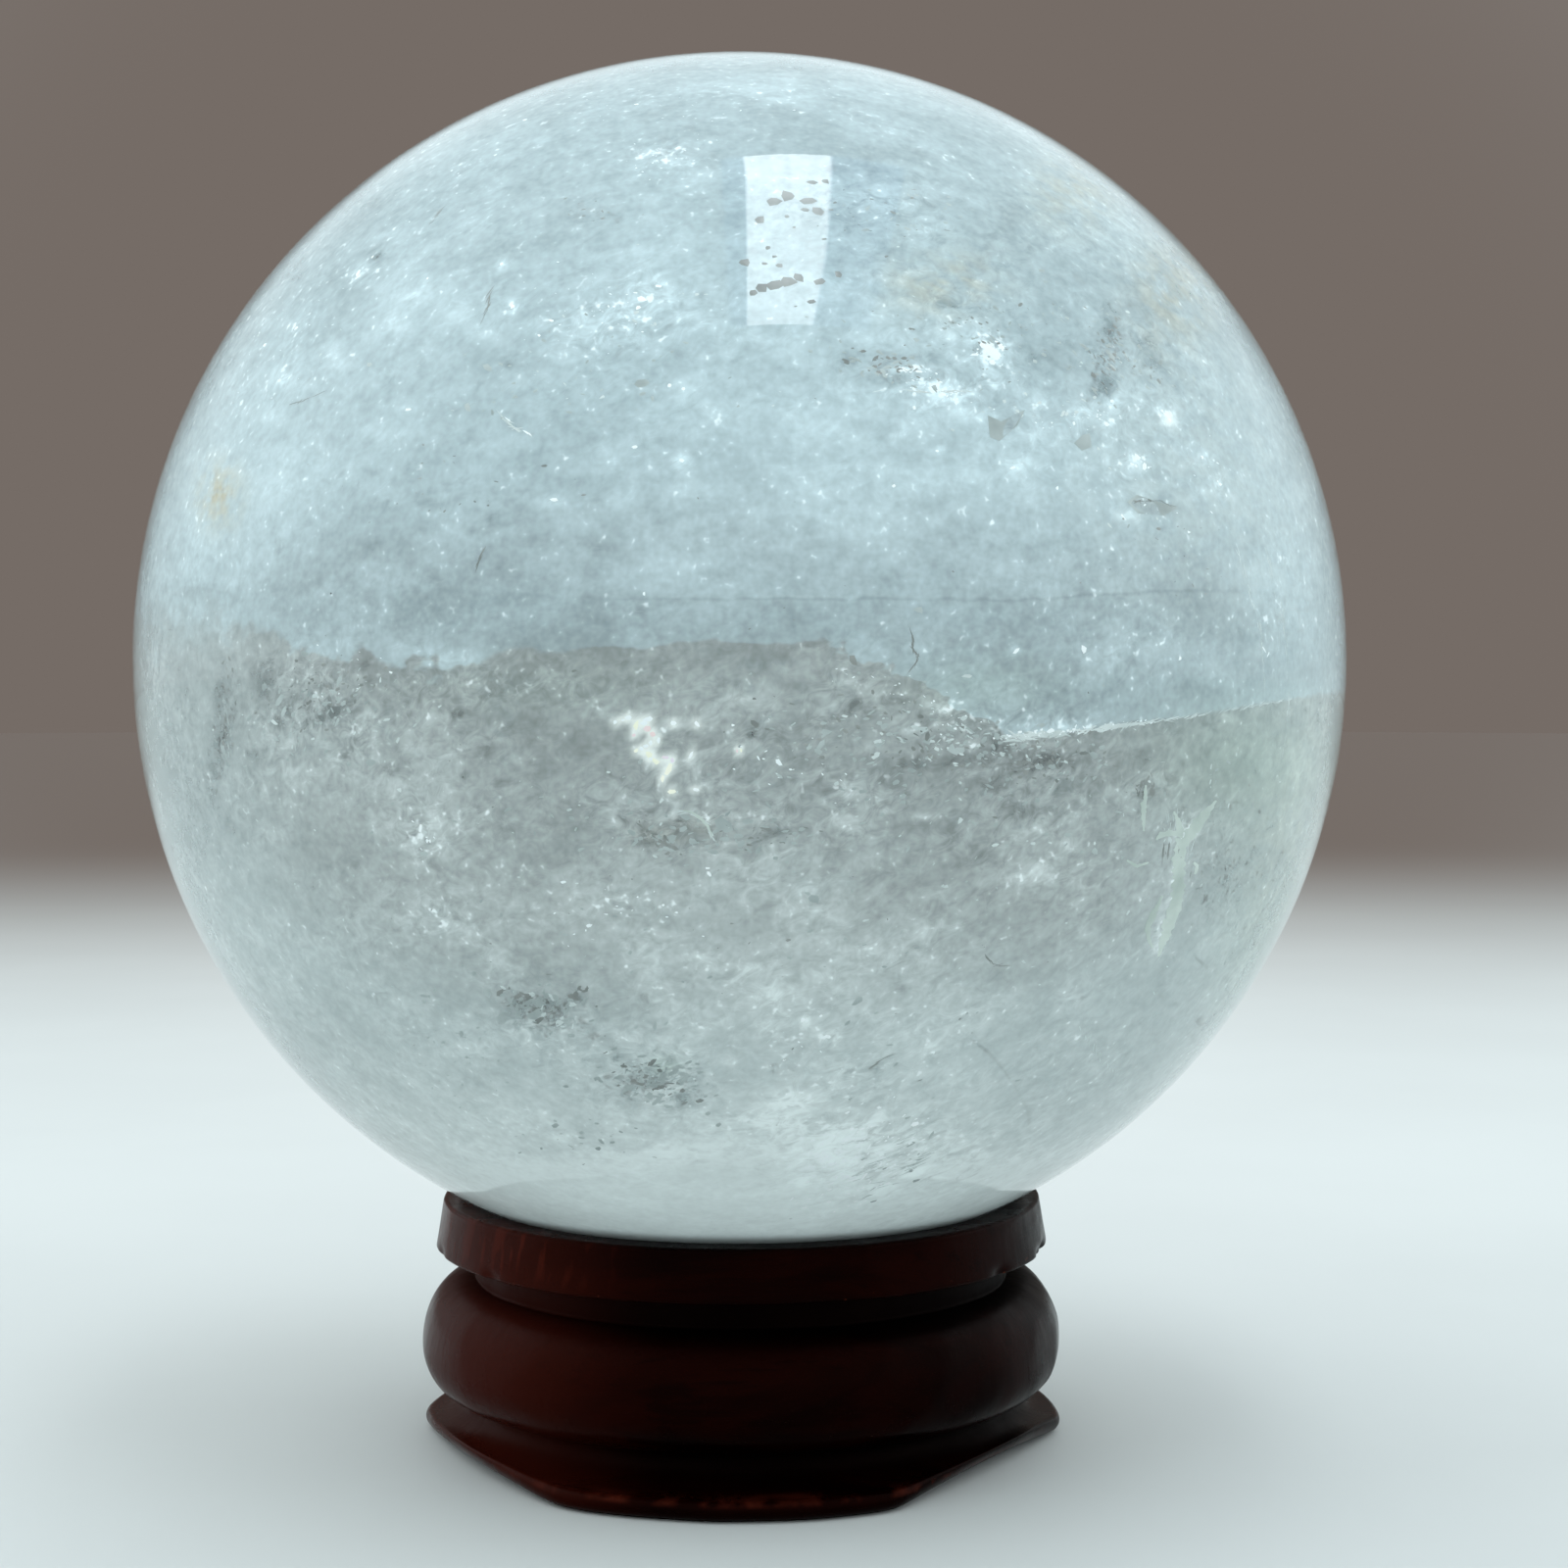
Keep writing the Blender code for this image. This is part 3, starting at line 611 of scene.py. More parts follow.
# Fine cracks and hairs: rows of pixels, with the number of pieces, their spread and half width.
WHITE_CRACKS = (
    (((1193, 825), (1202, 852), (1199, 887), (1193, 922), (1186, 957), (1183, 978)), 24, 4.6, 0.8),
    (((1231, 817), (1223, 840), (1212, 863), (1208, 887), (1200, 912), (1190, 945)), 18, 4.0, 0.8),
    (((696, 827), (710, 832), (720, 840), (728, 856)), 16, 0.7, 1.3),
    (((508, 422), (524, 436), (543, 445)), 12, 0.6, 0.8),
    (((1026, 753), (1075, 749), (1128, 743), (1165, 738)), 90, 2.2, 1.4),
    (((1128, 742), (1199, 734), (1326, 712)), 60, 1.2, 0.8),
    (((890, 398), (960, 400), (990, 399)), 16, 1.0, 0.8),
    (((1097, 1043), (1124, 1080), (1152, 1114)), 20, 1.6, 0.8),
    (((870, 1205), (910, 1175), (955, 1140)), 40, 4.0, 1.4),
    (((880, 1222), (930, 1190), (965, 1165)), 40, 4.0, 1.2),
    (((1292, 560), (1310, 640), (1316, 720), (1305, 800)), 40, 2.0, 0.8),
    (((1262, 560), (1286, 640), (1290, 700)), 26, 2.0, 0.7),
)
GREY_HAIRS = (
    (((454, 208), (446, 219), (440, 228)), 8, 0.4, 0.8),
    (((500, 295), (498, 312), (492, 327)), 10, 0.4, 0.8),
    (((326, 402), (312, 408), (298, 412)), 8, 0.6, 1.0),
    (((931, 648), (932, 662), (936, 672), (931, 682)), 12, 0.4, 0.9),
    (((1006, 976), (1014, 984), (1026, 986)), 8, 0.4, 0.9),
    (((488, 575), (491, 566), (494, 560)), 6, 0.4, 1.0),
    (((892, 1088), (898, 1082), (906, 1078)), 6, 0.4, 1.0),
    (((1204, 1110), (1212, 1118), (1224, 1122)), 6, 0.6, 0.8), (((1186, 862), (1187, 880)), 4, 0.6, 1.2),
    (((1192, 861), (1193, 884)), 5, 0.6, 1.1), (((1202, 862), (1203, 874)), 4, 0.8, 1.6),
    (((1150, 512), (1182, 511), (1202, 518)), 12, 0.5, 0.7),
)
DARK_SPECKS = (
    (492, 236, 0.11), (385, 262, 0.16), (338, 605, 0.19), (545, 631, 0.14), (518, 372, 0.13),
    (1309, 536, 0.12), (472, 794, 0.17), (326, 899, 0.10), (278, 986, 0.10), (278, 842, 0.10),
    (1020, 901, 0.18), (1124, 915, 0.18), (1164, 1045, 0.12), (768, 749, 0.15), (1006, 494, 0.09),
    (470, 760, 0.1),
)
# Pits in the polish, which break the window's reflection: x, y and half width in pixels.
SKIN_PITS = (
    (828, 186, 6), (842, 185, 6), (790, 205, 8), (805, 200, 9), (825, 205, 8), (822, 214, 6), (834, 216, 7),
    (776, 224, 6), (803, 221, 3), (784, 253, 3), (841, 244, 3), (759, 268, 7), (780, 269, 3), (796, 271, 4),
    (768, 299, 5), (778, 294, 7), (791, 291, 8), (804, 288, 8), (815, 283, 7), (836, 287, 6), (855, 280, 4),
    (828, 308, 4), (790, 262, 3), (810, 232, 2), (848, 214, 3),
)
# The window panel's own corners as they are reflected: top left, top right, bottom right, bottom left.
WINDOW_CORNERS = ((735, 163), (923, 172), (886, 338), (745, 334))


# Half thickness of the shards, which lets them just break the skin.
SHARD_THICKNESS = 0.008 * MM

# Where a plate's outer and inner faces lie, as shares of a ray's way through the ball.
SKIN_BREAK = -0.00015
PLATE_DEPTH = 0.001

# How a cluster's pieces spread, in its half widths, and how near to the ball's outline pieces come.
CLUSTER_SPREAD = 0.62
INNER_LIMIT = 0.97 * BALL_PIXEL_RADIUS
SKIN_LIMIT = 0.975 * BALL_PIXEL_RADIUS


def patch_sum(pixels, patches):
    """The sum of soft spots: each adds its amount times e to minus the squared distance in half widths."""
    total = np.zeros(len(pixels))
    for x, y, half_width, half_height, amount in patches:
        spread = ((pixels[:, 0] - x) / half_width) ** 2 + ((pixels[:, 1] - y) / half_height) ** 2
        total += amount * np.exp(-spread)
    return total


def stroke_sum(pixels, strokes):
    """The same for tilted strokes: the distance is taken along and across each one."""
    total = np.zeros(len(pixels))
    for x, y, half_width, half_height, tilt, amount in strokes:
        tilt = math.radians(tilt)
        right, down = (pixels - (x, y)).T
        along = (right * math.cos(tilt) + down * math.sin(tilt)) / half_width
        across = (down * math.cos(tilt) - right * math.sin(tilt)) / half_height
        total += amount * np.exp(-along ** 2 - across ** 2)
    return total


def random_patches(draw, count):
    """Soft spots for the side of the ball that the photograph doesn't show."""
    turn = draw.uniform(0, 2 * math.pi, count)
    reach = BALL_PIXEL_RADIUS * np.sqrt(draw.uniform(0, 0.8, count))
    return np.column_stack((BALL_PIXEL[0] + reach * np.cos(turn), BALL_PIXEL[1] + reach * np.sin(turn),
                            draw.uniform(25, 120, count), draw.uniform(18, 70, count),
                            draw.uniform(-0.7, 0.6, count)))


def height_over(pixels, line):
    """How far above a line of pixels each pixel lies, in millimetres on the ball."""
    xs, ys = np.array(line, float).T
    return (np.interp(pixels[:, 0], xs, ys) - pixels[:, 1]) / PIXELS_PER_MM


def skin_features(points, draw):
    """What the stone's material needs to know at each point of the skin, as named values.

    The back half repeats the front's levels, seen through the ball, with patches of its own.
    """
    front = np.clip(0.5 - 4 * (points[:, 1] - BALL_CENTRE[1]) / BALL_RADIUS, 0, 1)
    pixels = seen_pixels(points * (1, 0, 1) - (0, 1, 0) * np.abs(points[:, 1:2]))
    behind = patch_sum(pixels, random_patches(draw, BACK_PATCH_COUNT))
    crisp_xs, crispness = np.array(VEIL_CRISPNESS).T
    crisp = (0.1 + 0.9 * front) * np.interp(pixels[:, 0], crisp_xs, crispness)
    ragged_xs, raggedness = np.array(VEIL_RAGGEDNESS).T
    line_xs, line_depth = np.array(VEIL_LINE_DEPTH).T
    glow_xs, edge_glow = np.array(VEIL_EDGE_GLOW).T
    strokes = stroke_sum(pixels, STROKES)
    films = [(x, y, wide + 2.5, high + 2.5, tilt, 0.7) for x, y, wide, high, tilt, _ in RAINBOW_FILMS]
    clusters = [(x, y, 1.2 * wide, 1.2 * high, min(0.6, count / (0.25 * wide * high)))
                for x, y, wide, high, _, _, count in WHITE_CLUSTERS]
    return {
        "veil_height": height_over(pixels, VEIL_EDGE) * crisp,
        "line_height": height_over(pixels, VEIL_LINE) * crisp,
        "line_depth": front * np.interp(pixels[:, 0], line_xs, line_depth),
        "edge_glow": front * np.interp(pixels[:, 0], glow_xs, edge_glow),
        "raggedness": np.interp(pixels[:, 0], ragged_xs, raggedness) * crisp,
        "frost": front * np.clip(patch_sum(pixels, clusters) + 0.5 * np.clip(strokes - 0.9, 0, None), 0, 1)
        + (1 - front) * np.clip(behind, 0, 1),
        "haze": front * (patch_sum(pixels, HAZE_PATCHES) + strokes) + (1 - front) * behind,
        "milk_and_glow": patch_sum(pixels, MILK_AND_GLOW_PATCHES),
        "stain": front * patch_sum(pixels, STAIN_PATCHES),
        "green": front * patch_sum(pixels, GREEN_PATCHES),
        "busy": front * patch_sum(pixels, BUSY_PATCHES),
        "film": front * np.clip(stroke_sum(pixels, films), 0, 0.8),
    }


def cluster_points(draw, clusters):
    """Points inside the ball that are seen, through its refraction, in soft oval clusters of pixels."""
    found = []
    for x, y, half_width, half_height, tilt, depth, count in clusters:
        across, down = (draw.normal(0, CLUSTER_SPREAD, (2, count)).T * (half_width, half_height)).T
        tilt = math.radians(tilt)
        pixels = np.column_stack((x + across * math.cos(tilt) - down * math.sin(tilt),
                                  y + across * math.sin(tilt) + down * math.cos(tilt)))
        pixels = pixels[np.hypot(*(pixels - BALL_PIXEL).T) < INNER_LIMIT]
        depths = np.clip(depth + draw.normal(0, 0.02, len(pixels)), 0.012, 0.95)
        found.append(inner_points(pixels, depths))
    return np.vstack(found)


def quartz_material(stone):
    """Rock crystal, ground and polished: clear glassy stone clouded by fine veils, with a bright polish.

    The milky share is what the eye reads as fog in the stone, and the clear share bends what is behind it.
    Soft clouds carry the tone. Dots and short dashes lie on them, thick where the patches call for them.
    """
    material, tree = new_material("polished_rock_crystal")
    place = in_millimetres(tree, BALL_CENTRE, (0.75, 1.0, 1.3))
    read = {name: add_node(tree, "ShaderNodeAttribute", attribute_name=name).outputs["Fac"] for name in (
        "veil_height", "line_height", "line_depth", "edge_glow", "raggedness", "haze", "frost", "milk_and_glow",
        "stain", "green", "film", "busy")}
    clouds = add_node(tree, "ShaderNodeTexNoise", {
        "Vector": place, "Scale": 1 / 15.0, "Detail": 2.0, "Roughness": 0.55})
    billows = add_node(tree, "ShaderNodeTexNoise", {
        "Vector": place, "Scale": 1 / 5.0, "Detail": 3.0, "Roughness": 0.58, "Distortion": 0.5})
    mottle = add_node(tree, "ShaderNodeTexNoise", {
        "Vector": place, "Scale": 1 / 1.5, "Detail": 2.0, "Roughness": 0.6})

    # The level veil: lighter and bluer above its ragged edge, with a dark line where it meets the far side.
    coarse = add_node(tree, "ShaderNodeMapRange", {
        "Value": billows, "From Min": 0.3, "From Max": 0.7, "To Min": -1.0, "To Max": 1.0})
    fine = add_node(tree, "ShaderNodeMapRange", {
        "Value": mottle, "From Min": 0.3, "From Max": 0.7, "To Min": -1.0, "To Max": 1.0})
    uneven = add_node(tree, "ShaderNodeMath", {0: coarse, 1: 0.6, 2: fine}, operation="MULTIPLY_ADD")
    over_edge = add_node(tree, "ShaderNodeMath", {
        0: uneven, 1: read["raggedness"], 2: read["veil_height"]}, operation="MULTIPLY_ADD")
    upper = add_node(tree, "ShaderNodeMapRange", {
        "Value": over_edge, "From Min": -0.1, "From Max": 0.14}, interpolation_type="SMOOTHSTEP")
    edge_shade = add_node(tree, "ShaderNodeMapRange", {
        "Value": over_edge, "From Min": -2.6, "From Max": 0.0}, interpolation_type="SMOOTHSTEP")
    edge_shade = add_node(tree, "ShaderNodeMath", {
        0: edge_shade, 1: upper}, operation="SUBTRACT", use_clamp=True)
    edge_light = add_node(tree, "ShaderNodeMapRange", {
        "Value": over_edge, "From Min": 1.3, "From Max": 0.0}, interpolation_type="SMOOTHSTEP")
    edge_light = add_node(tree, "ShaderNodeMath", {0: edge_light, 1: upper}, operation="MULTIPLY")
    edge_light = add_node(tree, "ShaderNodeMath", {
        0: edge_light, 1: read["edge_glow"]}, operation="MULTIPLY")
    over_line = add_node(tree, "ShaderNodeMath", {
        0: uneven, 1: 0.1, 2: read["line_height"]}, operation="MULTIPLY_ADD")
    line = add_node(tree, "ShaderNodeMapRange", {
        "Value": add_node(tree, "ShaderNodeMath", {0: over_line}, operation="ABSOLUTE"),
        "From Min": 0.2, "From Max": 0.0}, interpolation_type="SMOOTHSTEP")
    line = add_node(tree, "ShaderNodeMath", {0: line, 1: read["line_depth"]}, operation="MULTIPLY")
    above_line = add_node(tree, "ShaderNodeMapRange", {
        "Value": over_line, "From Min": -0.05, "From Max": 0.15}, interpolation_type="SMOOTHSTEP")

    # Grain: fine wrinkles that lean to the right, deeper low down, in the dark patches and in the frost.
    leaning = in_millimetres(tree, BALL_CENTRE, (0.72, 1.0, 1.12), math.radians(-25))
    swirl = add_node(tree, "ShaderNodeTexNoise", {
        "Vector": leaning, "Scale": 1 / 0.9, "Detail": 3.0, "Roughness": 0.66, "Distortion": 0.9})
    swirl = add_node(tree, "ShaderNodeMapRange", {
        "Value": swirl, "From Min": 0.25, "From Max": 0.75, "To Min": -1.0, "To Max": 1.0})
    grain = add_node(tree, "ShaderNodeTexNoise", {
        "Vector": in_millimetres(tree, BALL_CENTRE), "Scale": 1 / 0.48, "Detail": 1.0, "Roughness": 0.6})
    patchy = add_node(tree, "ShaderNodeMath", {0: read["haze"]}, operation="ABSOLUTE")
    patchy = add_node(tree, "ShaderNodeMath", {
        0: patchy, 1: 0.3, 2: read["frost"]}, operation="MULTIPLY_ADD", use_clamp=True)
    depth = add_node(tree, "ShaderNodeMapRange", {"Value": upper, "To Min": 0.5, "To Max": 0.22})
    depth = add_node(tree, "ShaderNodeMath", {0: patchy, 1: 0.8, 2: depth}, operation="MULTIPLY_ADD")
    depth = add_node(tree, "ShaderNodeMath", {0: depth, 1: read["busy"]}, operation="ADD")
    calm = add_node(tree, "ShaderNodeMapRange", {
        "Value": billows, "From Min": 0.36, "From Max": 0.62, "To Min": 0.45, "To Max": 1.3})
    depth = add_node(tree, "ShaderNodeMath", {0: depth, 1: calm}, operation="MULTIPLY")
    wrinkles = add_node(tree, "ShaderNodeMath", {0: swirl, 1: depth}, operation="MULTIPLY")
    speckle = add_node(tree, "ShaderNodeMapRange", {
        "Value": grain, "From Min": 0.3, "From Max": 0.7, "To Min": -0.2, "To Max": 0.2})

    # Frost: soft white dots, everywhere a few, and close together in the clusters.
    frost = add_node(tree, "ShaderNodeMath", {0: read["frost"], 1: 0.27, 2: grain}, operation="MULTIPLY_ADD")
    frost = add_node(tree, "ShaderNodeMath", {0: coarse, 1: 0.035, 2: frost}, operation="MULTIPLY_ADD")
    frost = add_node(tree, "ShaderNodeMapRange", {
        "Value": frost, "From Min": 0.67, "From Max": 0.86, "To Max": 0.65}, interpolation_type="SMOOTHSTEP")

    cloudiness = add_node(tree, "ShaderNodeMapRange", {
        "Value": clouds, "From Min": 0.3, "From Max": 0.7, "To Min": -0.25, "To Max": 0.25})
    parts = ((0.45, read["haze"]), (0.3, coarse), (0.22, fine), (1.0, wrinkles), (1.0, speckle),
             (0.5, frost), (0.5, read["milk_and_glow"]), (0.12, above_line), (-0.25, line), (-0.25, edge_shade),
             (0.7, edge_light))
    for amount, part in parts:
        cloudiness = add_node(tree, "ShaderNodeMath", {
            0: part, 1: amount, 2: cloudiness}, operation="MULTIPLY_ADD")

    haze = add_node(tree, "ShaderNodeMix", {
        "Factor": upper, "A": list(stone.lower_tint), "B": list(stone.upper_tint)}, data_type="RGBA")
    stain = add_node(tree, "ShaderNodeMapRange", {
        "Value": mottle, "From Min": 0.38, "From Max": 0.58, "To Min": 0.15, "To Max": 1.0})
    stain = add_node(tree, "ShaderNodeMath", {
        0: stain, 1: read["stain"]}, operation="MULTIPLY", use_clamp=True)
    haze = add_node(tree, "ShaderNodeMix", {
        "Factor": stain, "A": haze, "B": list(stone.stain_tint)}, data_type="RGBA")
    green = add_node(tree, "ShaderNodeMath", {0: read["green"], 1: 0.6}, operation="MULTIPLY")
    haze = add_node(tree, "ShaderNodeMix", {
        "Factor": green, "A": haze, "B": list(stone.green_tint)}, data_type="RGBA")
    bright = add_node(tree, "ShaderNodeMapRange", {
        "Value": cloudiness, "From Min": -1.6, "From Max": 1.4, "To Min": 0.55, "To Max": 1.06})
    # Painted glow: the milky patches are painted brighter, most of all along the bottom.
    bright = add_node(tree, "ShaderNodeMath", {
        0: read["milk_and_glow"], 1: 0.55, 2: bright}, operation="MULTIPLY_ADD")
    haze = add_node(tree, "ShaderNodeVectorMath", {0: haze, "Scale": bright}, operation="SCALE")
    haze = add_node(tree, "ShaderNodeMix", {
        "Factor": frost, "A": haze, "B": linear("#F1F9FB")}, data_type="RGBA")

    # A painted white glow round the air films of the brightest cluster.
    haze = add_node(tree, "ShaderNodeMix", {
        "Factor": read["film"], "A": haze, "B": linear("#F4FAF4")}, data_type="RGBA")
    clear = add_node(tree, "ShaderNodeMapRange", {
        "Value": cloudiness, "From Min": -1.4, "From Max": 1.4,
        "To Min": stone.clearness + 0.3, "To Max": stone.clearness - 0.3})
    clear = add_node(tree, "ShaderNodeMath", {0: read["milk_and_glow"], 1: -1.0, 2: clear}, operation="MULTIPLY_ADD")
    clear = add_node(tree, "ShaderNodeMath", {0: frost, 1: -0.4, 2: clear}, operation="MULTIPLY_ADD")
    clear = add_node(tree, "ShaderNodeMath", {
        0: read["film"], 1: -0.6, 2: clear}, operation="MULTIPLY_ADD", use_clamp=True)
    shader = add_node(tree, "ShaderNodeBsdfPrincipled", {
        "Base Color": haze, "Transmission Weight": clear, "IOR": QUARTZ_IOR, "Roughness": stone.polish})
    volume = add_node(tree, "ShaderNodeVolumeAbsorption",
                      {"Color": list(stone.body_tint), "Density": stone.absorption})
    add_node(tree, "ShaderNodeOutputMaterial", {"Surface": shader, "Volume": volume})
    return material


def fleck_material():
    """White mineral flecks: tiny broken faces and bubbles in the stone, which look like frost."""
    material, tree = new_material("frosted_quartz_fleck")
    tint = add_node(tree, "ShaderNodeTexNoise", {
        "Vector": in_millimetres(tree), "Scale": 1 / 6.0, "Detail": 2.0})
    colour = add_node(tree, "ShaderNodeMix", {
        "Factor": tint, "A": linear("#DCEAEC"), "B": linear("#FBFEFF")}, data_type="RGBA")
    shader = add_node(tree, "ShaderNodeBsdfPrincipled", {
        "Base Color": colour, "Roughness": 0.45, "IOR": QUARTZ_IOR})
    add_node(tree, "ShaderNodeOutputMaterial", {"Surface": shader})
    return material


def face_material(name, dark_tint, light_tint):
    """Thin broken faces in the stone, painted light and shade: white for faces that catch the light, grey
    for faces turned away.

    The two tints lie on each piece in soft patches of two millimetres, so that no two faces are quite alike.
    """
    material, tree = new_material(name)
    tint = add_node(tree, "ShaderNodeTexNoise", {
        "Vector": in_millimetres(tree), "Scale": 1 / 2.0, "Detail": 3.0})
    tint = add_node(tree, "ShaderNodeMapRange", {"Value": tint, "From Min": 0.3, "From Max": 0.7})
    colour = add_node(tree, "ShaderNodeMix", {
        "Factor": tint, "A": linear(dark_tint), "B": linear(light_tint)}, data_type="RGBA")
    shader = add_node(tree, "ShaderNodeBsdfPrincipled", {
        "Base Color": colour, "Roughness": 0.25, "IOR": QUARTZ_IOR})
    add_node(tree, "ShaderNodeOutputMaterial", {"Surface": shader})
    return material


# Each kind of broken face: its material's name, and its dark and light tints. The pale kind is painted as
# lit, and the shaded and grey kinds as painted shade.
PALE_FACES = ("pale_quartz_face", "#B2BFBE", "#D2DDDC")
SHADED_FACES = ("shaded_quartz_face", "#8C9897", "#B0BCBB")
GREY_FACES = ("grey_shaded_break", "#68706E", "#929794")
CRACK_FILLING = ("healed_crack_filling", "#A6B5AE", "#CBD8D1")
CREAM_FILM = ("cream_air_film", "#ECF0D6", "#FAFAEA")
ROSE_FILM = ("rose_air_film", "#EBD6D3", "#E6E3F1")


def dark_material():
    """Chlorite or iron ore grains: tiny, nearly black specks with a dull break."""
    material, tree = new_material("dark_mineral_grain")
    tint = add_node(tree, "ShaderNodeTexNoise", {
        "Vector": in_millimetres(tree), "Scale": 1 / 0.5, "Detail": 2.0})
    colour = add_node(tree, "ShaderNodeMix", {
        "Factor": tint, "A": linear("#2E3836"), "B": linear("#4B5452")}, data_type="RGBA")
    shader = add_node(tree, "ShaderNodeBsdfPrincipled", {"Base Color": colour, "Roughness": 0.6})
    add_node(tree, "ShaderNodeOutputMaterial", {"Surface": shader})
    return material


class QUARTZ_OT_ball(bpy.types.Operator):
    """Makes the polished ball, as one closed sphere on a grid of rings

    The grid is finer at the front and round the middle: an upright line's angle loses 0.6 times its sine,
    and a ring's angle from the top gains 0.2 times the sine of its double.
    """

    bl_idname = "quartz.ball"
    bl_label = "Polished ball"

    def execute(self, context):
        stone = context.scene.quartz_stone
        rings, around = 254, 388
        polar = np.linspace(0, math.pi, rings + 2)[1:-1][:, None]
        polar = polar + 0.2 * np.sin(2 * polar)
        turn = np.linspace(0, 2 * math.pi, around, endpoint=False)[None, :]
        turn = turn - 0.6 * np.sin(turn)
        points = np.stack((np.sin(polar) * np.sin(turn), -np.sin(polar) * np.cos(turn),
                           np.cos(polar) + 0 * turn), axis=-1).reshape(-1, 3)
        points = np.vstack((points, [[0, 0, 1], [0, 0, -1]])) * stone.radius + BALL_CENTRE
        step = np.arange(around)
        following = (step + 1) % around
        top, last = rings * around, (rings - 1) * around
        top_cap = np.column_stack((np.full(around, top), step, following))
        bottom_cap = np.column_stack((np.full(around, top + 1), last + following, last + step))
        faces = ring_faces(rings, around)[:, ::-1].tolist() + top_cap.tolist() + bottom_cap.tolist()
        piece = make_mesh_object("quartz_ball", points, faces, quartz_material(stone))
        for name, values in skin_features(points, np.random.default_rng(stone.seed)).items():
            attribute = piece.data.attributes.new(name, "FLOAT", "POINT")
            attribute.data.foreach_set("value", values.astype(np.float32))
        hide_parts("quartz_sphere")
        return {"FINISHED"}


class QUARTZ_OT_flecks(bpy.types.Operator):
    """Spreads fine flecks and curved wisps through the stone, thicker where a smooth random field is high"""

    bl_idname = "quartz.flecks"
    bl_label = "Cloud flecks and wisps"

    def execute(self, context):
        stone = context.scene.quartz_stone
        draw = np.random.default_rng(stone.seed + 1)
        centres = spread_in_ball(draw, stone.cloud_flecks, stone.radius, 0.018, 0.006)
        size = stone.fleck_size * np.exp(draw.normal(0, 0.45, len(centres)))
        halves = np.column_stack((size, size * draw.uniform(0.3, 0.9, len(centres)), size * 0.15))
        pale = face_material(*PALE_FACES)
        join_copies("cloud_flecks", centres, flake_shapes(halves), random_turns(draw, len(centres)),
                    FLAKE_FACES, pale)
        centres = spread_in_ball(draw, stone.wisps, stone.radius, 0.022, 0.007)
        length = stone.wisp_length * np.exp(draw.normal(0, 0.4, len(centres)))
        width = length * draw.uniform(0.08, 0.16, len(centres))
        shapes = wisp_shapes(length, width, draw.uniform(-0.5, 0.5, len(centres)))
        join_copies("cloud_wisps", centres, shapes, random_turns(draw, len(centres)), wisp_faces(), pale)
        return {"FINISHED"}


class QUARTZ_OT_veils(bpy.types.Operator):
    """Lays flecks along healed fractures: the level veil, and smaller tilted ones all through the ball"""

    bl_idname = "quartz.veils"
    bl_label = "Veils"

    def execute(self, context):
        stone = context.scene.quartz_stone
        draw = np.random.default_rng(stone.seed + 2)
        centres = np.vstack((self.level_veil(draw), self.healed_fractures(draw, stone.radius)))
        size = stone.fleck_size * 0.9 * np.exp(draw.normal(0, 0.4, len(centres)))
        halves = np.column_stack((size, size * draw.uniform(0.3, 0.9, len(centres)), size * 0.2))
        join_copies("veil_flecks", centres, flake_shapes(halves), random_turns(draw, len(centres)),
                    FLAKE_FACES, face_material(*PALE_FACES))
        return {"FINISHED"}

    def level_veil(self, draw, count=1200):
        """Flecks from the veil's near edge, just under the skin, to the line where it meets the far side."""
        x = draw.uniform(190, 1330, count)
        share = draw.uniform(0, 1, count) ** 1.4
        near, far = (np.interp(x, *np.array(line, float).T) for line in (VEIL_EDGE, VEIL_LINE))
        pixels = np.column_stack((x, near + (far - near) * share + draw.normal(0, 1.5, count)))
        return inner_points(pixels, 0.03 + 0.85 * share)

    def healed_fractures(self, draw, radius, sheets=15, each=110):
        """Flecks on tilted, slightly warped discs, where a fine random field leaves gaps between them."""
        found = []
        for _ in range(sheets):
            normal = draw.normal(size=3) * (0.8, 0.8, 1.2)
            turn = turns_to(normal[None, :], draw)[0]
            spot = draw.uniform(-1, 1, (each * 3, 2))
            spot = spot[np.hypot(*spot.T) < 1] * draw.uniform(0.2, 0.6) * radius
            right, up = spot.T / radius
            warp = 0.05 * radius * np.sin(right * 5 + draw.uniform(0, 6)) * np.cos(up * 4)
            points = np.column_stack((spot, warp)) @ turn.T + draw.uniform(-0.55, 0.55, 3) * radius
            keep = soft_field(points, 0.0035, draw) + soft_field(points, 0.0012, draw) > 0.4
            keep &= np.linalg.norm(points, axis=1) < 0.96 * radius
            found.append(points[keep][:each])
        return np.vstack(found) + BALL_CENTRE


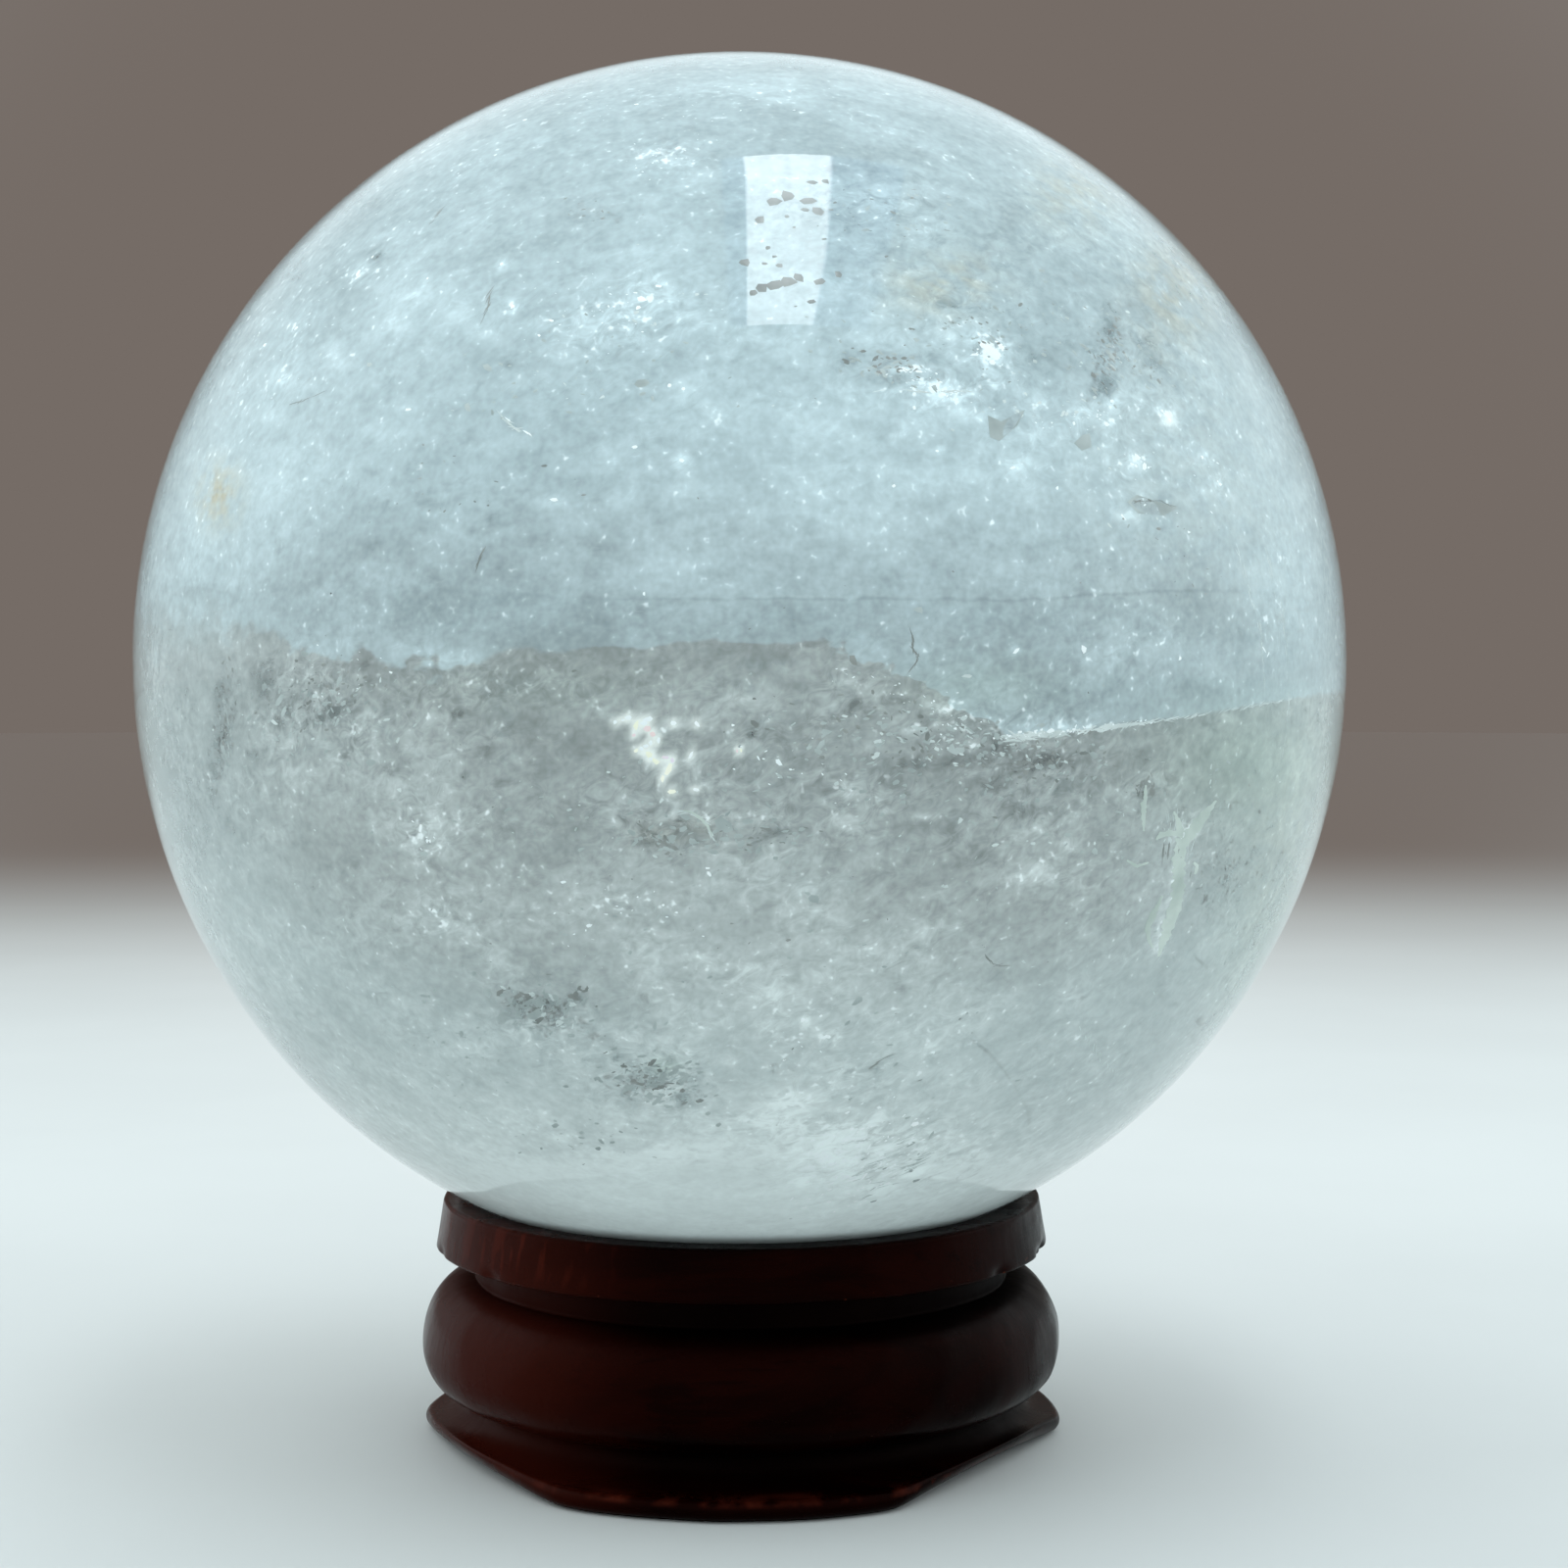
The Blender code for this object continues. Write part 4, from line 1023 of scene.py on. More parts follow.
class QUARTZ_OT_clusters(bpy.types.Operator):
    """Places the clusters of flecks, broken faces, cracks, hairs, specks and pits that the photo shows"""

    bl_idname = "quartz.clusters"
    bl_label = "Clusters, cracks and specks"

    def execute(self, context):
        stone = context.scene.quartz_stone
        draw = np.random.default_rng(stone.seed + 3)
        white, pale, grey = fleck_material(), face_material(*PALE_FACES), face_material(*GREY_FACES)
        self.flakes("white_clusters", cluster_points(draw, WHITE_CLUSTERS), 0.15 * MM, 0.18, draw, white)
        self.flakes("grey_clusters", cluster_points(draw, GREY_CLUSTERS), 0.16 * MM, 0.18, draw, grey)
        # Painted glints: white faces at the skin stand in for glints of light, with the white sprays among
        # them.
        glints = np.vstack((np.array(GLINTS) * (1, 1, 0.75, 0.75, 1), self.sprays(WHITE_SPRAYS, draw)))
        self.shards("bright_faces", glints, draw, white)
        films = np.array(RAINBOW_FILMS) * (1, 1, 0.85, 0.85, 1, 1)
        self.shards("white_films", films[films[:, 5] == 0], draw, white)
        self.shards("cream_films", films[films[:, 5] < 0], draw, face_material(*CREAM_FILM))
        self.shards("rose_films", films[films[:, 5] > 0], draw, face_material(*ROSE_FILM))
        cracks = self.along_lines(WHITE_CRACKS, draw)
        self.shards("pale_faces", self.sprays(PALE_SPRAYS, draw), draw, pale)
        self.shards("white_cracks", cracks, draw, pale)
        hairs = self.along_lines(GREY_HAIRS, draw)
        self.shards("dark_faces_and_hairs", np.vstack((self.sprays(DARK_SPRAYS, draw), hairs)), draw, grey)
        shaded = face_material(*SHADED_FACES)
        self.shards("shaded_faces", self.sprays(SHADED_SPRAYS, draw), draw, shaded)
        self.flat_faces(shaded)
        self.ribbons(draw, face_material(*CRACK_FILLING))
        self.specks(draw, stone.radius)
        pits = np.array(SKIN_PITS, float)
        pits = np.column_stack((pits, pits[:, 2] * draw.uniform(0.6, 1.0, len(pits)), np.zeros(len(pits))))
        self.shards("polish_pits", pits, draw, grey)
        return {"FINISHED"}

    def flakes(self, name, centres, size, flatness, draw, material):
        """Flakes of random sizes and turns about the given points."""
        size = size * np.exp(draw.normal(0, 0.45, len(centres)))
        halves = np.column_stack((size, size * draw.uniform(0.3, 0.9, len(centres)), size * flatness))
        join_copies(name, centres, flake_shapes(halves), random_turns(draw, len(centres)), FLAKE_FACES,
                    material)

    def sprays(self, sprays, draw):
        """Rows of x, y, half width, half height and tilt, spread in soft ellipses of pixels."""
        rows = []
        for x, y, half_width, half_height, tilt, count, length, lean in sprays:
            across, down = (draw.normal(0, CLUSTER_SPREAD, (2, count)).T * (half_width, half_height)).T
            tilt = math.radians(tilt)
            length = length * np.exp(draw.normal(0, 0.4, count))
            rows.append(np.column_stack((
                x + across * math.cos(tilt) - down * math.sin(tilt),
                y + across * math.sin(tilt) + down * math.cos(tilt),
                length, length * draw.uniform(0.2, 0.7, count), lean + draw.normal(0, 28, count))))
        return np.vstack(rows)

    def along_lines(self, lines, draw):
        """Rows of the same kind: long thin pieces that follow lines of pixels, closer at each line's end."""
        rows = []
        for pixels, count, spread, half_width in lines:
            pixels = np.array(pixels, float)
            place = draw.uniform(0, len(pixels) - 1, count)
            knots = np.arange(len(pixels))
            middle = np.column_stack([np.interp(place, knots, column) for column in pixels.T])
            ahead = np.column_stack([np.interp(place + 0.1, knots, column) for column in pixels.T])
            behind = np.column_stack([np.interp(place - 0.1, knots, column) for column in pixels.T])
            way = np.degrees(np.arctan2(*(ahead - behind).T[::-1]))
            thinner = 1 - 0.75 * place / (len(pixels) - 1)
            middle += draw.normal(0, 1, middle.shape) * (spread * thinner)[:, None]
            length = draw.uniform(4, 11, count)
            width = half_width * draw.uniform(0.5, 1.2, count) * (0.4 + 0.6 * thinner)
            rows.append(np.column_stack((middle, length, width, way + draw.normal(0, 11, count))))
        return np.vstack(rows)

    def shards(self, name, rows, draw, material, deepest=0.0):
        """Thin shards at pixels, with half sizes in pixels and tilts in degrees, flat to the skin.

        Each lies in the skin, or at a random share of its ray's way through the ball, up to the deepest.
        """
        rows = rows[np.hypot(*(rows[:, :2] - BALL_PIXEL).T) < SKIN_LIMIT]
        centres = inner_points(rows[:, :2], deepest * draw.uniform(0.1, 1.0, len(rows)))
        outward = centres - BALL_CENTRE
        outward /= np.linalg.norm(outward, axis=1, keepdims=True)
        right = np.cross((0.0, 0.0, 1.0), outward)
        right /= np.linalg.norm(right, axis=1, keepdims=True)
        up = np.cross(outward, right)
        tilt = np.radians(rows[:, 4:5])
        along = right * np.cos(tilt) - up * np.sin(tilt)
        across = right * np.sin(tilt) + up * np.cos(tilt)
        turns = np.stack((along, across, outward), axis=-1)
        halves = rows[:, 2:4] / PIXELS_PER_MM * MM
        halves = np.column_stack((halves, np.full(len(rows), SHARD_THICKNESS)))
        join_copies(name, centres, shard_shapes(halves, draw), turns, SHARD_FACES, material)

    def flat_faces(self, material):
        """Broken faces with named corners, as thin plates that just break the skin."""
        points, faces, first = [], [], 0
        for corners in FLAT_FACES:
            count = len(corners)
            points += [inner_points(corners, SKIN_BREAK), inner_points(corners, PLATE_DEPTH)]
            front = np.arange(count) + first
            sides = np.column_stack((front, front + count, np.roll(front, -1) + count, np.roll(front, -1)))
            faces += [front[::-1].tolist(), (front + count).tolist()] + sides[:, ::-1].tolist()
            first += 2 * count
        piece = make_mesh_object("flat_faces", np.vstack(points), faces, material)
        piece.data.shade_flat()

    def ribbons(self, draw, material):
        """Thin ribbons with rough edges: a four-cornered section is carried along each row of pixels."""
        points, faces, first = [], [], 0
        for knots in RIBBONS:
            knots = np.array(knots, float)
            reach = np.append(0, np.cumsum(np.hypot(*np.diff(knots[:, :2], axis=0).T)))
            place = np.linspace(0, reach[-1], int(reach[-1] / 2.5) + 2)
            rows = np.column_stack([np.interp(place, reach, column) for column in knots.T])
            way = np.gradient(rows[:, :2], axis=0)
            side = way[:, ::-1] * (-1, 1) / np.hypot(*way.T)[:, None] * rows[:, 2:3]
            left, right = (rows[:, :2] + sign * side * draw.uniform(0.65, 1.25, (len(rows), 1))
                           for sign in (-1, 1))
            section = [inner_points(edge, depth) for edge, depth in (
                (left, SKIN_BREAK), (right, SKIN_BREAK), (right, PLATE_DEPTH), (left, PLATE_DEPTH))]
            points.append(np.stack(section, axis=1).reshape(-1, 3))
            last = first + 4 * (len(rows) - 1)
            faces += (ring_faces(len(rows), 4) + first).tolist()
            faces += [[first + 3, first + 2, first + 1, first], [last, last + 1, last + 2, last + 3]]
            first = last + 4
        piece = make_mesh_object("crack_ribbons", np.vstack(points), faces, material)
        piece.data.shade_flat()

    def specks(self, draw, radius, scattered=40):
        """Dark grains: the ones that the photo shows, sunk in the skin, and a few all through the ball."""
        x, y, size = np.array(DARK_SPECKS, float).T
        named, _ = skin_points(np.column_stack((x, y)))
        centres = np.vstack((named, spread_in_ball(draw, scattered, radius, 0.02, 0.008)))
        size = np.append(size, draw.uniform(0.05, 0.13, len(centres) - len(named))) * MM
        centres[:len(named)] += (BALL_CENTRE - named) / radius * size[:len(named), None] * 0.6
        halves = np.column_stack((size, size * 0.8, size * 0.7))
        join_copies("dark_specks", centres, flake_shapes(halves), random_turns(draw, len(centres)),
                    FLAKE_FACES, dark_material())


def arc(centre, radii, start, end, steps, power=1.0):
    """Points on an ellipse from one angle to another, in degrees; a power under 1 makes it fuller."""
    angle = np.radians(np.linspace(start, end, steps + 1))
    across = np.cos(angle)
    reach = np.copysign(np.abs(across) ** power, across)
    return np.column_stack((centre[0] + radii[0] * reach, centre[1] + radii[1] * np.sin(angle)))


def run(start, end, steps):
    """Evenly spaced points on a straight line, its end left out."""
    share = np.linspace(0, 1, steps, endpoint=False)[:, None]
    return np.asarray(start) * (1 - share) + np.asarray(end) * share


# The stand's profile, in millimetres from its axis and from the floor.
RIM_RADIUS = 18.85
RIM_ROUNDING = 0.3
RING_RADIUS = 19.3
RING_EDGE_ROUNDING = 0.2
RING_LOWER_EDGE = 12.55
UPPER_GROOVE_RADIUS = 16.9
BULGE_RADIUS = 20.2
BULGE_TOP = 10.4
BULGE_WIDEST = 6.2
BULGE_BOTTOM = 3.4
BULGE_FULLNESS = 0.82
LOWER_GROOVE_RADIUS = 17.3
FLANGE_TOP = 2.7
FLANGE_NOSE_HEIGHT = 0.7
FLANGE_NOSE_RADIUS = 0.6
FLANGE_RADIUS = 20.45
FOOT_BOTTOM_RADIUS = 19.95
FOOT_ROUNDING = 0.25
RECESS_RADIUS = 13.8
RECESS_DEPTH = 1.7
HOLE_RADIUS = 3.0

# Three hand-cut scallops in the flange: right, back and left. Their ends are rounded off.
SCALLOP_DEPTHS = (1.15, 1.0, 0.85)
FIRST_SCALLOP_ANGLE = 57.0
SCALLOP_HALF_WIDTH = 30.0
SCALLOP_RISE = 0.65
SCALLOP_CUT = 2.2
CORNER_SOFTNESS = 0.2

SEAT_CLEARANCE = 0.02

# The start of the stand's own random draws, and the number of dents in its ring.
HAND_WORK_SEED = 5
DENT_COUNT = 16


def seat_height(radius):
    """Height of the dish: a sphere just wider than the stone, about the stone's centre."""
    seat = BALL_RADIUS / MM + SEAT_CLEARANCE
    return BALL_CENTRE[2] / MM - np.sqrt(seat ** 2 - radius ** 2)


def stand_profile(height):
    """The stand's closed outline as radius and height in millimetres, from the hole round to the dish."""
    foot = arc((FOOT_BOTTOM_RADIUS - FOOT_ROUNDING, FOOT_ROUNDING), (FOOT_ROUNDING,) * 2, -90, -30, 5)
    nose_centre = (FLANGE_RADIUS - FLANGE_NOSE_RADIUS, FLANGE_NOSE_HEIGHT)
    nose = arc(nose_centre, (FLANGE_NOSE_RADIUS,) * 2, -50, 80, 22)
    cove_radii = (nose[-1][0] - LOWER_GROOVE_RADIUS, FLANGE_TOP - nose[-1][1])
    cove = arc((nose[-1][0], FLANGE_TOP), cove_radii, -90, -180, 22)
    lower_radii = (BULGE_RADIUS - LOWER_GROOVE_RADIUS, BULGE_WIDEST - BULGE_BOTTOM)
    upper_radii = (BULGE_RADIUS - UPPER_GROOVE_RADIUS, BULGE_TOP - BULGE_WIDEST)
    lower = arc((LOWER_GROOVE_RADIUS, BULGE_WIDEST), lower_radii, -90, 0, 28, BULGE_FULLNESS)
    upper = arc((UPPER_GROOVE_RADIUS, BULGE_WIDEST), upper_radii, 0, 90, 34, BULGE_FULLNESS)
    groove_top = (UPPER_GROOVE_RADIUS, RING_LOWER_EDGE - RING_EDGE_ROUNDING)
    edge = arc((RING_RADIUS - RING_EDGE_ROUNDING, RING_LOWER_EDGE), (RING_EDGE_ROUNDING,) * 2, -90, 0, 6)
    rim = arc((RIM_RADIUS - RIM_ROUNDING, height - RIM_ROUNDING), (RIM_ROUNDING,) * 2, 0, 90, 8)
    rim_inner = math.sqrt((BALL_RADIUS / MM + SEAT_CLEARANCE) ** 2 - (BALL_CENTRE[2] / MM - height) ** 2)
    seat_radii = np.linspace(min(rim_inner, RIM_RADIUS - RIM_ROUNDING), HOLE_RADIUS, 26)
    dish = np.column_stack((seat_radii, seat_height(seat_radii)))
    return np.vstack((
        run((HOLE_RADIUS, RECESS_DEPTH), (RECESS_RADIUS - FOOT_ROUNDING, RECESS_DEPTH), 8),
        run((RECESS_RADIUS - FOOT_ROUNDING, RECESS_DEPTH), (RECESS_RADIUS, FOOT_ROUNDING), 5),
        run((RECESS_RADIUS, FOOT_ROUNDING), (RECESS_RADIUS + FOOT_ROUNDING, 0.0), 2),
        run((RECESS_RADIUS + FOOT_ROUNDING, 0.0), foot[0], 8),
        foot, nose, cove[1:], lower, upper[1:],
        run(upper[-1], groove_top, 8), run(groove_top, edge[0], 8), edge,
        run(edge[-1], rim[0], 18)[1:], rim, dish,
        run(dish[-1], (HOLE_RADIUS, RECESS_DEPTH), 8)[1:]))


def scallop_depth(angle):
    """About 0 on the feet and 1 in the middle of a scallop, at angles in degrees.

    A straight cut across the flange, c, is rounded at its ends: half of c plus the root of c squared plus
    the softness squared.
    """
    pitch = 360.0 / len(SCALLOP_DEPTHS)
    turn = (angle - FIRST_SCALLOP_ANGLE + pitch / 2) % 360.0
    offset = turn % pitch - pitch / 2
    corner = math.cos(math.radians(SCALLOP_HALF_WIDTH))
    chord = (1 - corner / np.cos(np.radians(offset))) / (1 - corner)
    depth = np.array(SCALLOP_DEPTHS)[(turn // pitch).astype(int)]
    return depth * (chord + np.sqrt(chord ** 2 + CORNER_SOFTNESS ** 2)) / 2


def wood_material(stand):
    """Hardwood, turned, stained mahogany red and varnished: dark fine-pored grain under a glossy clear coat.

    The two grooves are painted black, as painted shade, and the left side a lighter red, as a painted sheen;
    a painted highlight runs along the top of the lip. The tool has left fine rings and upright chatter
    marks.
    """
    material, tree = new_material("varnished_mahogany_stained_hardwood")
    place = in_millimetres(tree)
    grain = add_node(tree, "ShaderNodeTexNoise", {
        "Vector": in_millimetres(tree, stretch=(0.12, 1.0, 1.0)), "Scale": 1 / 0.9, "Detail": 5.0,
        "Roughness": 0.6, "Distortion": 0.3})
    figure = add_node(tree, "ShaderNodeTexNoise", {
        "Vector": in_millimetres(tree, stretch=(0.2, 0.6, 1.0)), "Scale": 1 / 4.0, "Detail": 4.0,
        "Roughness": 0.55, "Distortion": 0.8})
    figure = add_node(tree, "ShaderNodeMapRange", {
        "Value": figure, "From Min": 0.36, "From Max": 0.68}, interpolation_type="SMOOTHSTEP")
    tone = add_node(tree, "ShaderNodeMix", {
        "Factor": figure, "A": list(stand.stain), "B": list(stand.dark_stain)}, data_type="RGBA")
    pores = add_node(tree, "ShaderNodeMapRange", {
        "Value": grain, "From Min": 0.52, "From Max": 0.66, "To Max": 0.7}, interpolation_type="SMOOTHSTEP")
    tone = add_node(tree, "ShaderNodeMix", {
        "Factor": pores, "A": tone, "B": list(stand.dark_stain)}, data_type="RGBA")

    # The grooves are the only walls nearer to the axis than 18 mm between the flange and the ring.
    split = add_node(tree, "ShaderNodeSeparateXYZ", {"Vector": place})
    across = add_node(tree, "ShaderNodeVectorMath", {0: place, 1: (1.0, 1.0, 0.0)}, operation="MULTIPLY")
    radius = add_node(tree, "ShaderNodeVectorMath", {0: across}, operation="LENGTH").outputs["Value"]
    painted_shade_in_grooves = add_node(tree, "ShaderNodeMapRange", {
        "Value": radius, "From Min": LOWER_GROOVE_RADIUS + 2.4, "From Max": LOWER_GROOVE_RADIUS + 0.3},
        interpolation_type="SMOOTHSTEP")
    over = add_node(tree, "ShaderNodeMapRange", {
        "Value": split.outputs["Z"], "From Min": FLANGE_NOSE_HEIGHT + 0.6, "From Max": FLANGE_TOP - 0.2})
    under = add_node(tree, "ShaderNodeMapRange", {
        "Value": split.outputs["Z"], "From Min": RING_LOWER_EDGE + 0.1, "From Max": RING_LOWER_EDGE - 0.1})
    painted_shade_in_grooves = add_node(tree, "ShaderNodeMath", {0: painted_shade_in_grooves, 1: over}, operation="MULTIPLY")
    painted_shade_in_grooves = add_node(tree, "ShaderNodeMath", {0: painted_shade_in_grooves, 1: under}, operation="MULTIPLY")
    # Painted shade: the grooves are painted black, where shade falls deep in them.
    tone = add_node(tree, "ShaderNodeMix", {
        "Factor": painted_shade_in_grooves, "A": tone, "B": linear("#000000")}, data_type="RGBA")

    # Chips along the ring's lower edge show the pale wood under the stain.
    chips = add_node(tree, "ShaderNodeTexNoise", {
        "Vector": place, "Scale": 1 / 0.9, "Detail": 3.0, "Roughness": 0.6})
    chips = add_node(tree, "ShaderNodeMapRange", {"Value": chips, "From Min": 0.66, "From Max": 0.7})
    edge = add_node(tree, "ShaderNodeMath", {
        0: split.outputs["Z"], 1: RING_LOWER_EDGE}, operation="SUBTRACT")
    edge = add_node(tree, "ShaderNodeMath", {0: edge}, operation="ABSOLUTE")
    edge = add_node(tree, "ShaderNodeMapRange", {"Value": edge, "From Min": 0.3, "From Max": 0.1})
    chips = add_node(tree, "ShaderNodeMath", {0: chips, 1: edge}, operation="MULTIPLY")
    tone = add_node(tree, "ShaderNodeMix", {
        "Factor": chips, "A": tone, "B": linear("#4A2418")}, data_type="RGBA")

    # A painted highlight: a lighter red along the top of the lip, in places.
    painted_lip_highlight = add_node(tree, "ShaderNodeTexNoise", {
        "Vector": place, "Scale": 1 / 2.5, "Detail": 3.0, "Roughness": 0.6})
    painted_lip_highlight = add_node(tree, "ShaderNodeMapRange", {
        "Value": painted_lip_highlight, "From Min": 0.42, "From Max": 0.62, "To Max": 0.6})
    lip = add_node(tree, "ShaderNodeMath", {
        0: split.outputs["Z"], 1: FLANGE_NOSE_HEIGHT + 0.45}, operation="SUBTRACT")
    lip = add_node(tree, "ShaderNodeMath", {0: lip}, operation="ABSOLUTE")
    lip = add_node(tree, "ShaderNodeMapRange", {
        "Value": lip, "From Min": 0.3, "From Max": 0.04}, interpolation_type="SMOOTHSTEP")
    painted_lip_highlight = add_node(tree, "ShaderNodeMath", {0: painted_lip_highlight, 1: lip}, operation="MULTIPLY")
    tone = add_node(tree, "ShaderNodeMix", {
        "Factor": painted_lip_highlight, "A": tone, "B": linear("#45190F")}, data_type="RGBA")

    smear = add_node(tree, "ShaderNodeTexNoise", {
        "Vector": place, "Scale": 1 / 5.0, "Detail": 5.0, "Roughness": 0.65})
    rough = add_node(tree, "ShaderNodeMapRange", {
        "Value": smear, "From Min": 0.35, "From Max": 0.65, "To Min": stand.varnish_roughness,
        "To Max": stand.varnish_roughness + 0.2})
    rough = add_node(tree, "ShaderNodeMath", {0: painted_shade_in_grooves, 1: 0.3, 2: rough}, operation="MULTIPLY_ADD")
    rings = add_node(tree, "ShaderNodeTexNoise", {
        "Vector": in_millimetres(tree, stretch=(0.05, 0.05, 1.0)), "Scale": 1 / 0.35, "Detail": 3.0,
        "Roughness": 0.6})
    chatter = add_node(tree, "ShaderNodeTexNoise", {
        "Vector": in_millimetres(tree, stretch=(1.0, 1.0, 0.12)), "Scale": 1 / 0.8, "Detail": 2.0,
        "Roughness": 0.5})
    chatter_marks_and_left_sheen = add_node(tree, "ShaderNodeMapRange", {
        "Value": chatter, "From Min": 0.52, "From Max": 0.64, "To Max": 0.9})
    on_ring = add_node(tree, "ShaderNodeMapRange", {
        "Value": split.outputs["Z"], "From Min": RING_LOWER_EDGE, "From Max": RING_LOWER_EDGE + 0.8})
    chatter_marks_and_left_sheen = add_node(tree, "ShaderNodeMath", {0: chatter_marks_and_left_sheen, 1: on_ring}, operation="MULTIPLY")
    # Painted sheen: the left side is painted a lighter red, where light falls on it, and the chatter marks
    # on the ring are painted lighter only there, as part of the same sheen.
    painted_left_sheen = add_node(tree, "ShaderNodeMapRange", {
        "Value": split.outputs["X"], "From Min": -4.0, "From Max": -18.0, "To Max": 0.85},
        interpolation_type="SMOOTHSTEP")
    chatter_marks_and_left_sheen = add_node(tree, "ShaderNodeMath", {0: chatter_marks_and_left_sheen, 1: painted_left_sheen}, operation="MULTIPLY")
    chatter_marks_and_left_sheen = add_node(tree, "ShaderNodeMath", {0: painted_left_sheen, 1: 0.8, 2: chatter_marks_and_left_sheen}, operation="MULTIPLY_ADD")
    tone = add_node(tree, "ShaderNodeMix", {
        "Factor": chatter_marks_and_left_sheen, "A": tone, "B": linear("#3B120A")}, data_type="RGBA")
    relief = add_node(tree, "ShaderNodeMath", {0: rings, 1: 0.6, 2: grain}, operation="MULTIPLY_ADD")
    relief = add_node(tree, "ShaderNodeMath", {0: chatter, 1: 1.2, 2: relief}, operation="MULTIPLY_ADD")
    bump = add_node(tree, "ShaderNodeBump", {"Height": relief, "Strength": 0.5, "Distance": 0.03 * MM})
    shader = add_node(tree, "ShaderNodeBsdfPrincipled", {
        "Base Color": tone, "Roughness": rough, "IOR": 1.5, "Specular IOR Level": 0.03,
        "Specular Tint": (1.0, 0.42, 0.34, 1.0), "Normal": bump})
    add_node(tree, "ShaderNodeOutputMaterial", {"Surface": shader})
    return material


class QUARTZ_OT_stand(bpy.types.Operator):
    """Turns the stand's profile about its axis and carves the scallops, on one closed grid"""

    bl_idname = "quartz.stand"
    bl_label = "Turned stand"

    def execute(self, context):
        stand = context.scene.quartz_stand
        profile = stand_profile(stand.height / MM)
        around = 384
        turn = np.linspace(0, 2 * math.pi, around, endpoint=False)
        radius = np.repeat(profile[:, :1], around, axis=1)
        height = np.repeat(profile[:, 1:], around, axis=1)
        angle = np.broadcast_to(turn, radius.shape)
        radius = radius + self.hand_work(angle, radius, height)
        depth = scallop_depth(np.degrees(angle))
        carved = (radius > RECESS_RADIUS - FOOT_ROUNDING / 2) & (height < BULGE_BOTTOM)
        below = np.where(carved, 1 - height / BULGE_BOTTOM, 0.0)
        overhang = np.clip((radius - LOWER_GROOVE_RADIUS) / (FLANGE_RADIUS - LOWER_GROOVE_RADIUS), 0, None)
        radius = radius - SCALLOP_CUT * depth * below * overhang
        height = height + SCALLOP_RISE * depth * below
        points = np.stack((radius * np.sin(angle), -radius * np.cos(angle), height), axis=-1) * MM
        rings = len(profile)
        faces = ring_faces(rings, around)
        step = np.arange(around)
        following = (step + 1) % around
        last = (rings - 1) * around
        closing = np.column_stack((last + step, last + following, following, step))
        piece = make_mesh_object("turned_stand", points.reshape(-1, 3), np.vstack((faces, closing)),
                                 wood_material(stand))
        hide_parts("wood_stand")
        return {"FINISHED"}

    def hand_work(self, angle, radius, height):
        """What the hand tool leaves, in millimetres of radius: slow waves, and dents in the ring's edge.

        A dent falls off as e to minus the squared distance in its half widths, along and across the edge.
        """
        draw = np.random.default_rng(HAND_WORK_SEED)
        points = np.stack((radius * np.sin(angle), -radius * np.cos(angle), height), axis=-1)
        waves = soft_field(points.reshape(-1, 3), 7.0, draw).reshape(radius.shape)
        outer = np.clip((radius - RECESS_RADIUS - 1.0) / 2.0, 0, 1)
        outer = outer * np.clip((BALL_CENTRE[2] / MM - height) / 30, 0, 1)
        work = -0.05 * np.abs(waves)
        for place, depth, wide in zip(draw.uniform(0, 2 * math.pi, DENT_COUNT),
                                      draw.uniform(0.08, 0.3, DENT_COUNT),
                                      draw.uniform(0.3, 1.1, DENT_COUNT)):
            away = ((angle - place + math.pi) % (2 * math.pi) - math.pi) * RING_RADIUS / wide
            work = work - depth * np.exp(-away ** 2 - ((height - RING_LOWER_EDGE) / 0.35) ** 2)
        return work * outer


# The way to the middle of the soft side light, up and to the left.
SIDE_LIGHT_WAY = (-0.64, -0.05, 0.77)

# How far from straight behind the dim backdrop fades out, and where it is full.
BACKDROP_ANGLES = (math.radians(48), math.radians(14))

# Between these angles over the floor the backdrop fades out too, above the camera's view.
BACKDROP_TOP = (math.radians(27), math.radians(14))


def floor_material(stage):
    """Matte painted board: pale round the stand, and graded to the backdrop's tone far from it."""
    material, tree = new_material("matte_floor")
    place = in_millimetres(tree)
    distance = add_node(tree, "ShaderNodeVectorMath", {0: place}, operation="LENGTH").outputs["Value"]
    far = add_node(tree, "ShaderNodeMapRange", {
        "Value": distance, "From Min": 90.0, "From Max": 620.0}, interpolation_type="SMOOTHERSTEP")
    way = add_node(tree, "ShaderNodeVectorMath", {0: place}, operation="NORMALIZE")
    behind = add_node(tree, "ShaderNodeMapRange", {
        "Value": add_node(tree, "ShaderNodeSeparateXYZ", {"Vector": way}).outputs["Y"],
        "From Min": math.cos(BACKDROP_ANGLES[0]), "From Max": math.cos(BACKDROP_ANGLES[1])},
        interpolation_type="SMOOTHSTEP")
    far = add_node(tree, "ShaderNodeMath", {0: far, 1: behind}, operation="MULTIPLY")
    patchy = add_node(tree, "ShaderNodeTexNoise", {"Vector": place, "Scale": 1 / 60.0, "Detail": 4.0})
    patchy = add_node(tree, "ShaderNodeMapRange", {
        "Value": patchy, "From Min": 0.3, "From Max": 0.7, "To Max": 0.06}, interpolation_type="SMOOTHSTEP")
    tone = add_node(tree, "ShaderNodeMix", {
        "Factor": patchy, "A": list(stage.floor_colour), "B": (0.2, 0.2, 0.2, 1.0)}, data_type="RGBA")
    tone = add_node(tree, "ShaderNodeMix", {
        "Factor": far, "A": tone, "B": list(stage.far_floor_colour)}, data_type="RGBA")
    shader = add_node(tree, "ShaderNodeBsdfPrincipled", {
        "Base Color": tone, "Roughness": 0.6, "Specular IOR Level": 0.2})
    add_node(tree, "ShaderNodeOutputMaterial", {"Surface": shader})
    return material


